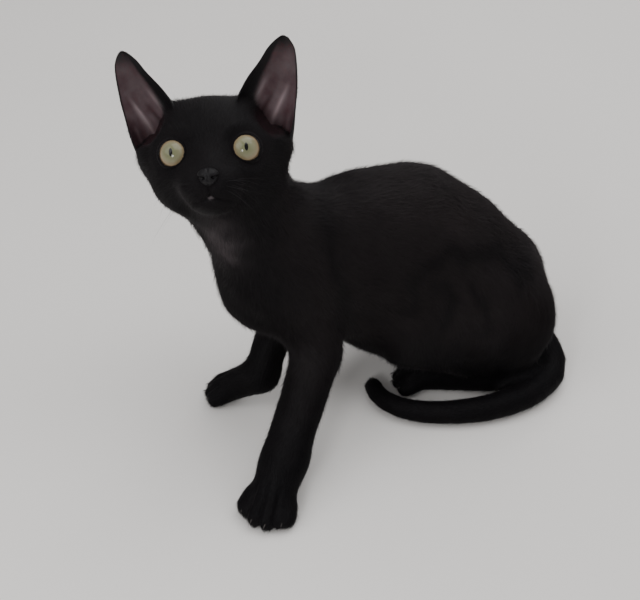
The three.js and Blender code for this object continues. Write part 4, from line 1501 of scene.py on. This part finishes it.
class KITTEN_OT_stage(bpy.types.Operator):
    """Set the floor, the lights and the camera"""

    bl_idname = "kitten.stage"
    bl_label = "Stage"

    def execute(self, context):
        settings = context.scene.kitten_stage
        self.floor(settings)
        self.lights(context, settings)
        self.camera(context, settings)
        return {"FINISHED"}

    def floor(self, settings):
        shape = bmesh.new()
        bmesh.ops.create_grid(shape, x_segments=1, y_segments=1, size=FLOOR_HALF)
        look = Look("floor", Roughness=0.9)
        shades = ((0.3, opaque(settings.floor, 0.97)), (0.7, opaque(settings.floor)))
        look.base(look.steps(look.noise(3.0, 2.0), *shades))
        mesh = mesh_from(shape, "floor", smooth=False)
        mesh.materials.append(look.material)
        floor = bpy.data.objects.new("floor", mesh)
        bpy.context.scene.collection.objects.link(floor)
        floor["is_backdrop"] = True

    def lights(self, context, settings):
        world = bpy.data.worlds.new("studio")
        world.use_nodes = True
        sky = world.node_tree.nodes["Background"]
        sky.inputs["Color"].default_value = opaque(SKY_COLOUR)
        sky.inputs["Strength"].default_value = SKY_STRENGTH * settings.light
        context.scene.world = world
        for name, place, size, power in LAMPS:
            data = bpy.data.lights.new(name, "AREA")
            data.size = size
            data.energy = power * settings.light
            lamp = bpy.data.objects.new(name, data)
            lamp.location = place
            aim = Vector(LAMP_TARGET) - lamp.location
            lamp.rotation_euler = aim.to_track_quat("-Z", "Y").to_euler()
            context.scene.collection.objects.link(lamp)

    def camera(self, context, settings):
        """Camera of the photo's view: looks down on the left side, slightly leaning."""
        data = bpy.data.cameras.new("camera")
        data.lens = settings.lens
        data.sensor_width = SENSOR_WIDTH
        camera = bpy.data.objects.new("camera", data)
        camera.matrix_world = (
            Matrix.Translation(BODY_POSE @ Vector(CAMERA_PLACE))
            @ Matrix.Rotation(math.radians(CAMERA_AZIMUTH), 4, "Z")
            @ Matrix.Rotation(math.radians(90 - CAMERA_PITCH), 4, "X")
            @ Matrix.Rotation(math.radians(CAMERA_ROLL), 4, "Z")
        )
        context.scene.collection.objects.link(camera)
        context.scene.camera = camera


class KITTEN_PT_panel(bpy.types.Panel):
    """Settings and steps of the kitten"""

    bl_idname = "KITTEN_PT_panel"
    bl_label = "Kitten"
    bl_space_type = "VIEW_3D"
    bl_region_type = "UI"
    bl_category = "Kitten"

    def draw(self, context):
        for group in (context.scene.kitten_coat, context.scene.kitten_eyes, context.scene.kitten_stage):
            box = self.layout.box()
            for key in group.__annotations__:
                box.prop(group, key)
        for step in STEPS:
            self.layout.operator(step.bl_idname)


GROUPS = {"kitten_coat": KittenCoat, "kitten_eyes": KittenEyes, "kitten_stage": KittenStage}
STEPS = (
    KITTEN_OT_skin,
    KITTEN_OT_ears,
    KITTEN_OT_eyes,
    KITTEN_OT_nose,
    KITTEN_OT_whiskers,
    KITTEN_OT_claws,
    KITTEN_OT_coat,
    KITTEN_OT_stage,
)
CLASSES = (*GROUPS.values(), *STEPS, KITTEN_PT_panel)


def register():
    for cls in CLASSES:
        bpy.utils.register_class(cls)
    for key, group in GROUPS.items():
        setattr(bpy.types.Scene, key, bpy.props.PointerProperty(type=group))


def unregister():
    for key in GROUPS:
        delattr(bpy.types.Scene, key)
    for cls in reversed(CLASSES):
        bpy.utils.unregister_class(cls)


def main():
    register()
    bpy.ops.kitten.skin()
    bpy.ops.kitten.ears()
    bpy.ops.kitten.eyes()
    bpy.ops.kitten.nose()
    bpy.ops.kitten.whiskers()
    bpy.ops.kitten.claws()
    bpy.ops.kitten.coat()
    bpy.ops.kitten.stage()
    boxes = {"cad": CAD_BOX, "visual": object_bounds()}
    plain = {key: [list(low), list(high)] for key, (low, high) in boxes.items()}


if __name__ == "__main__":
    main()
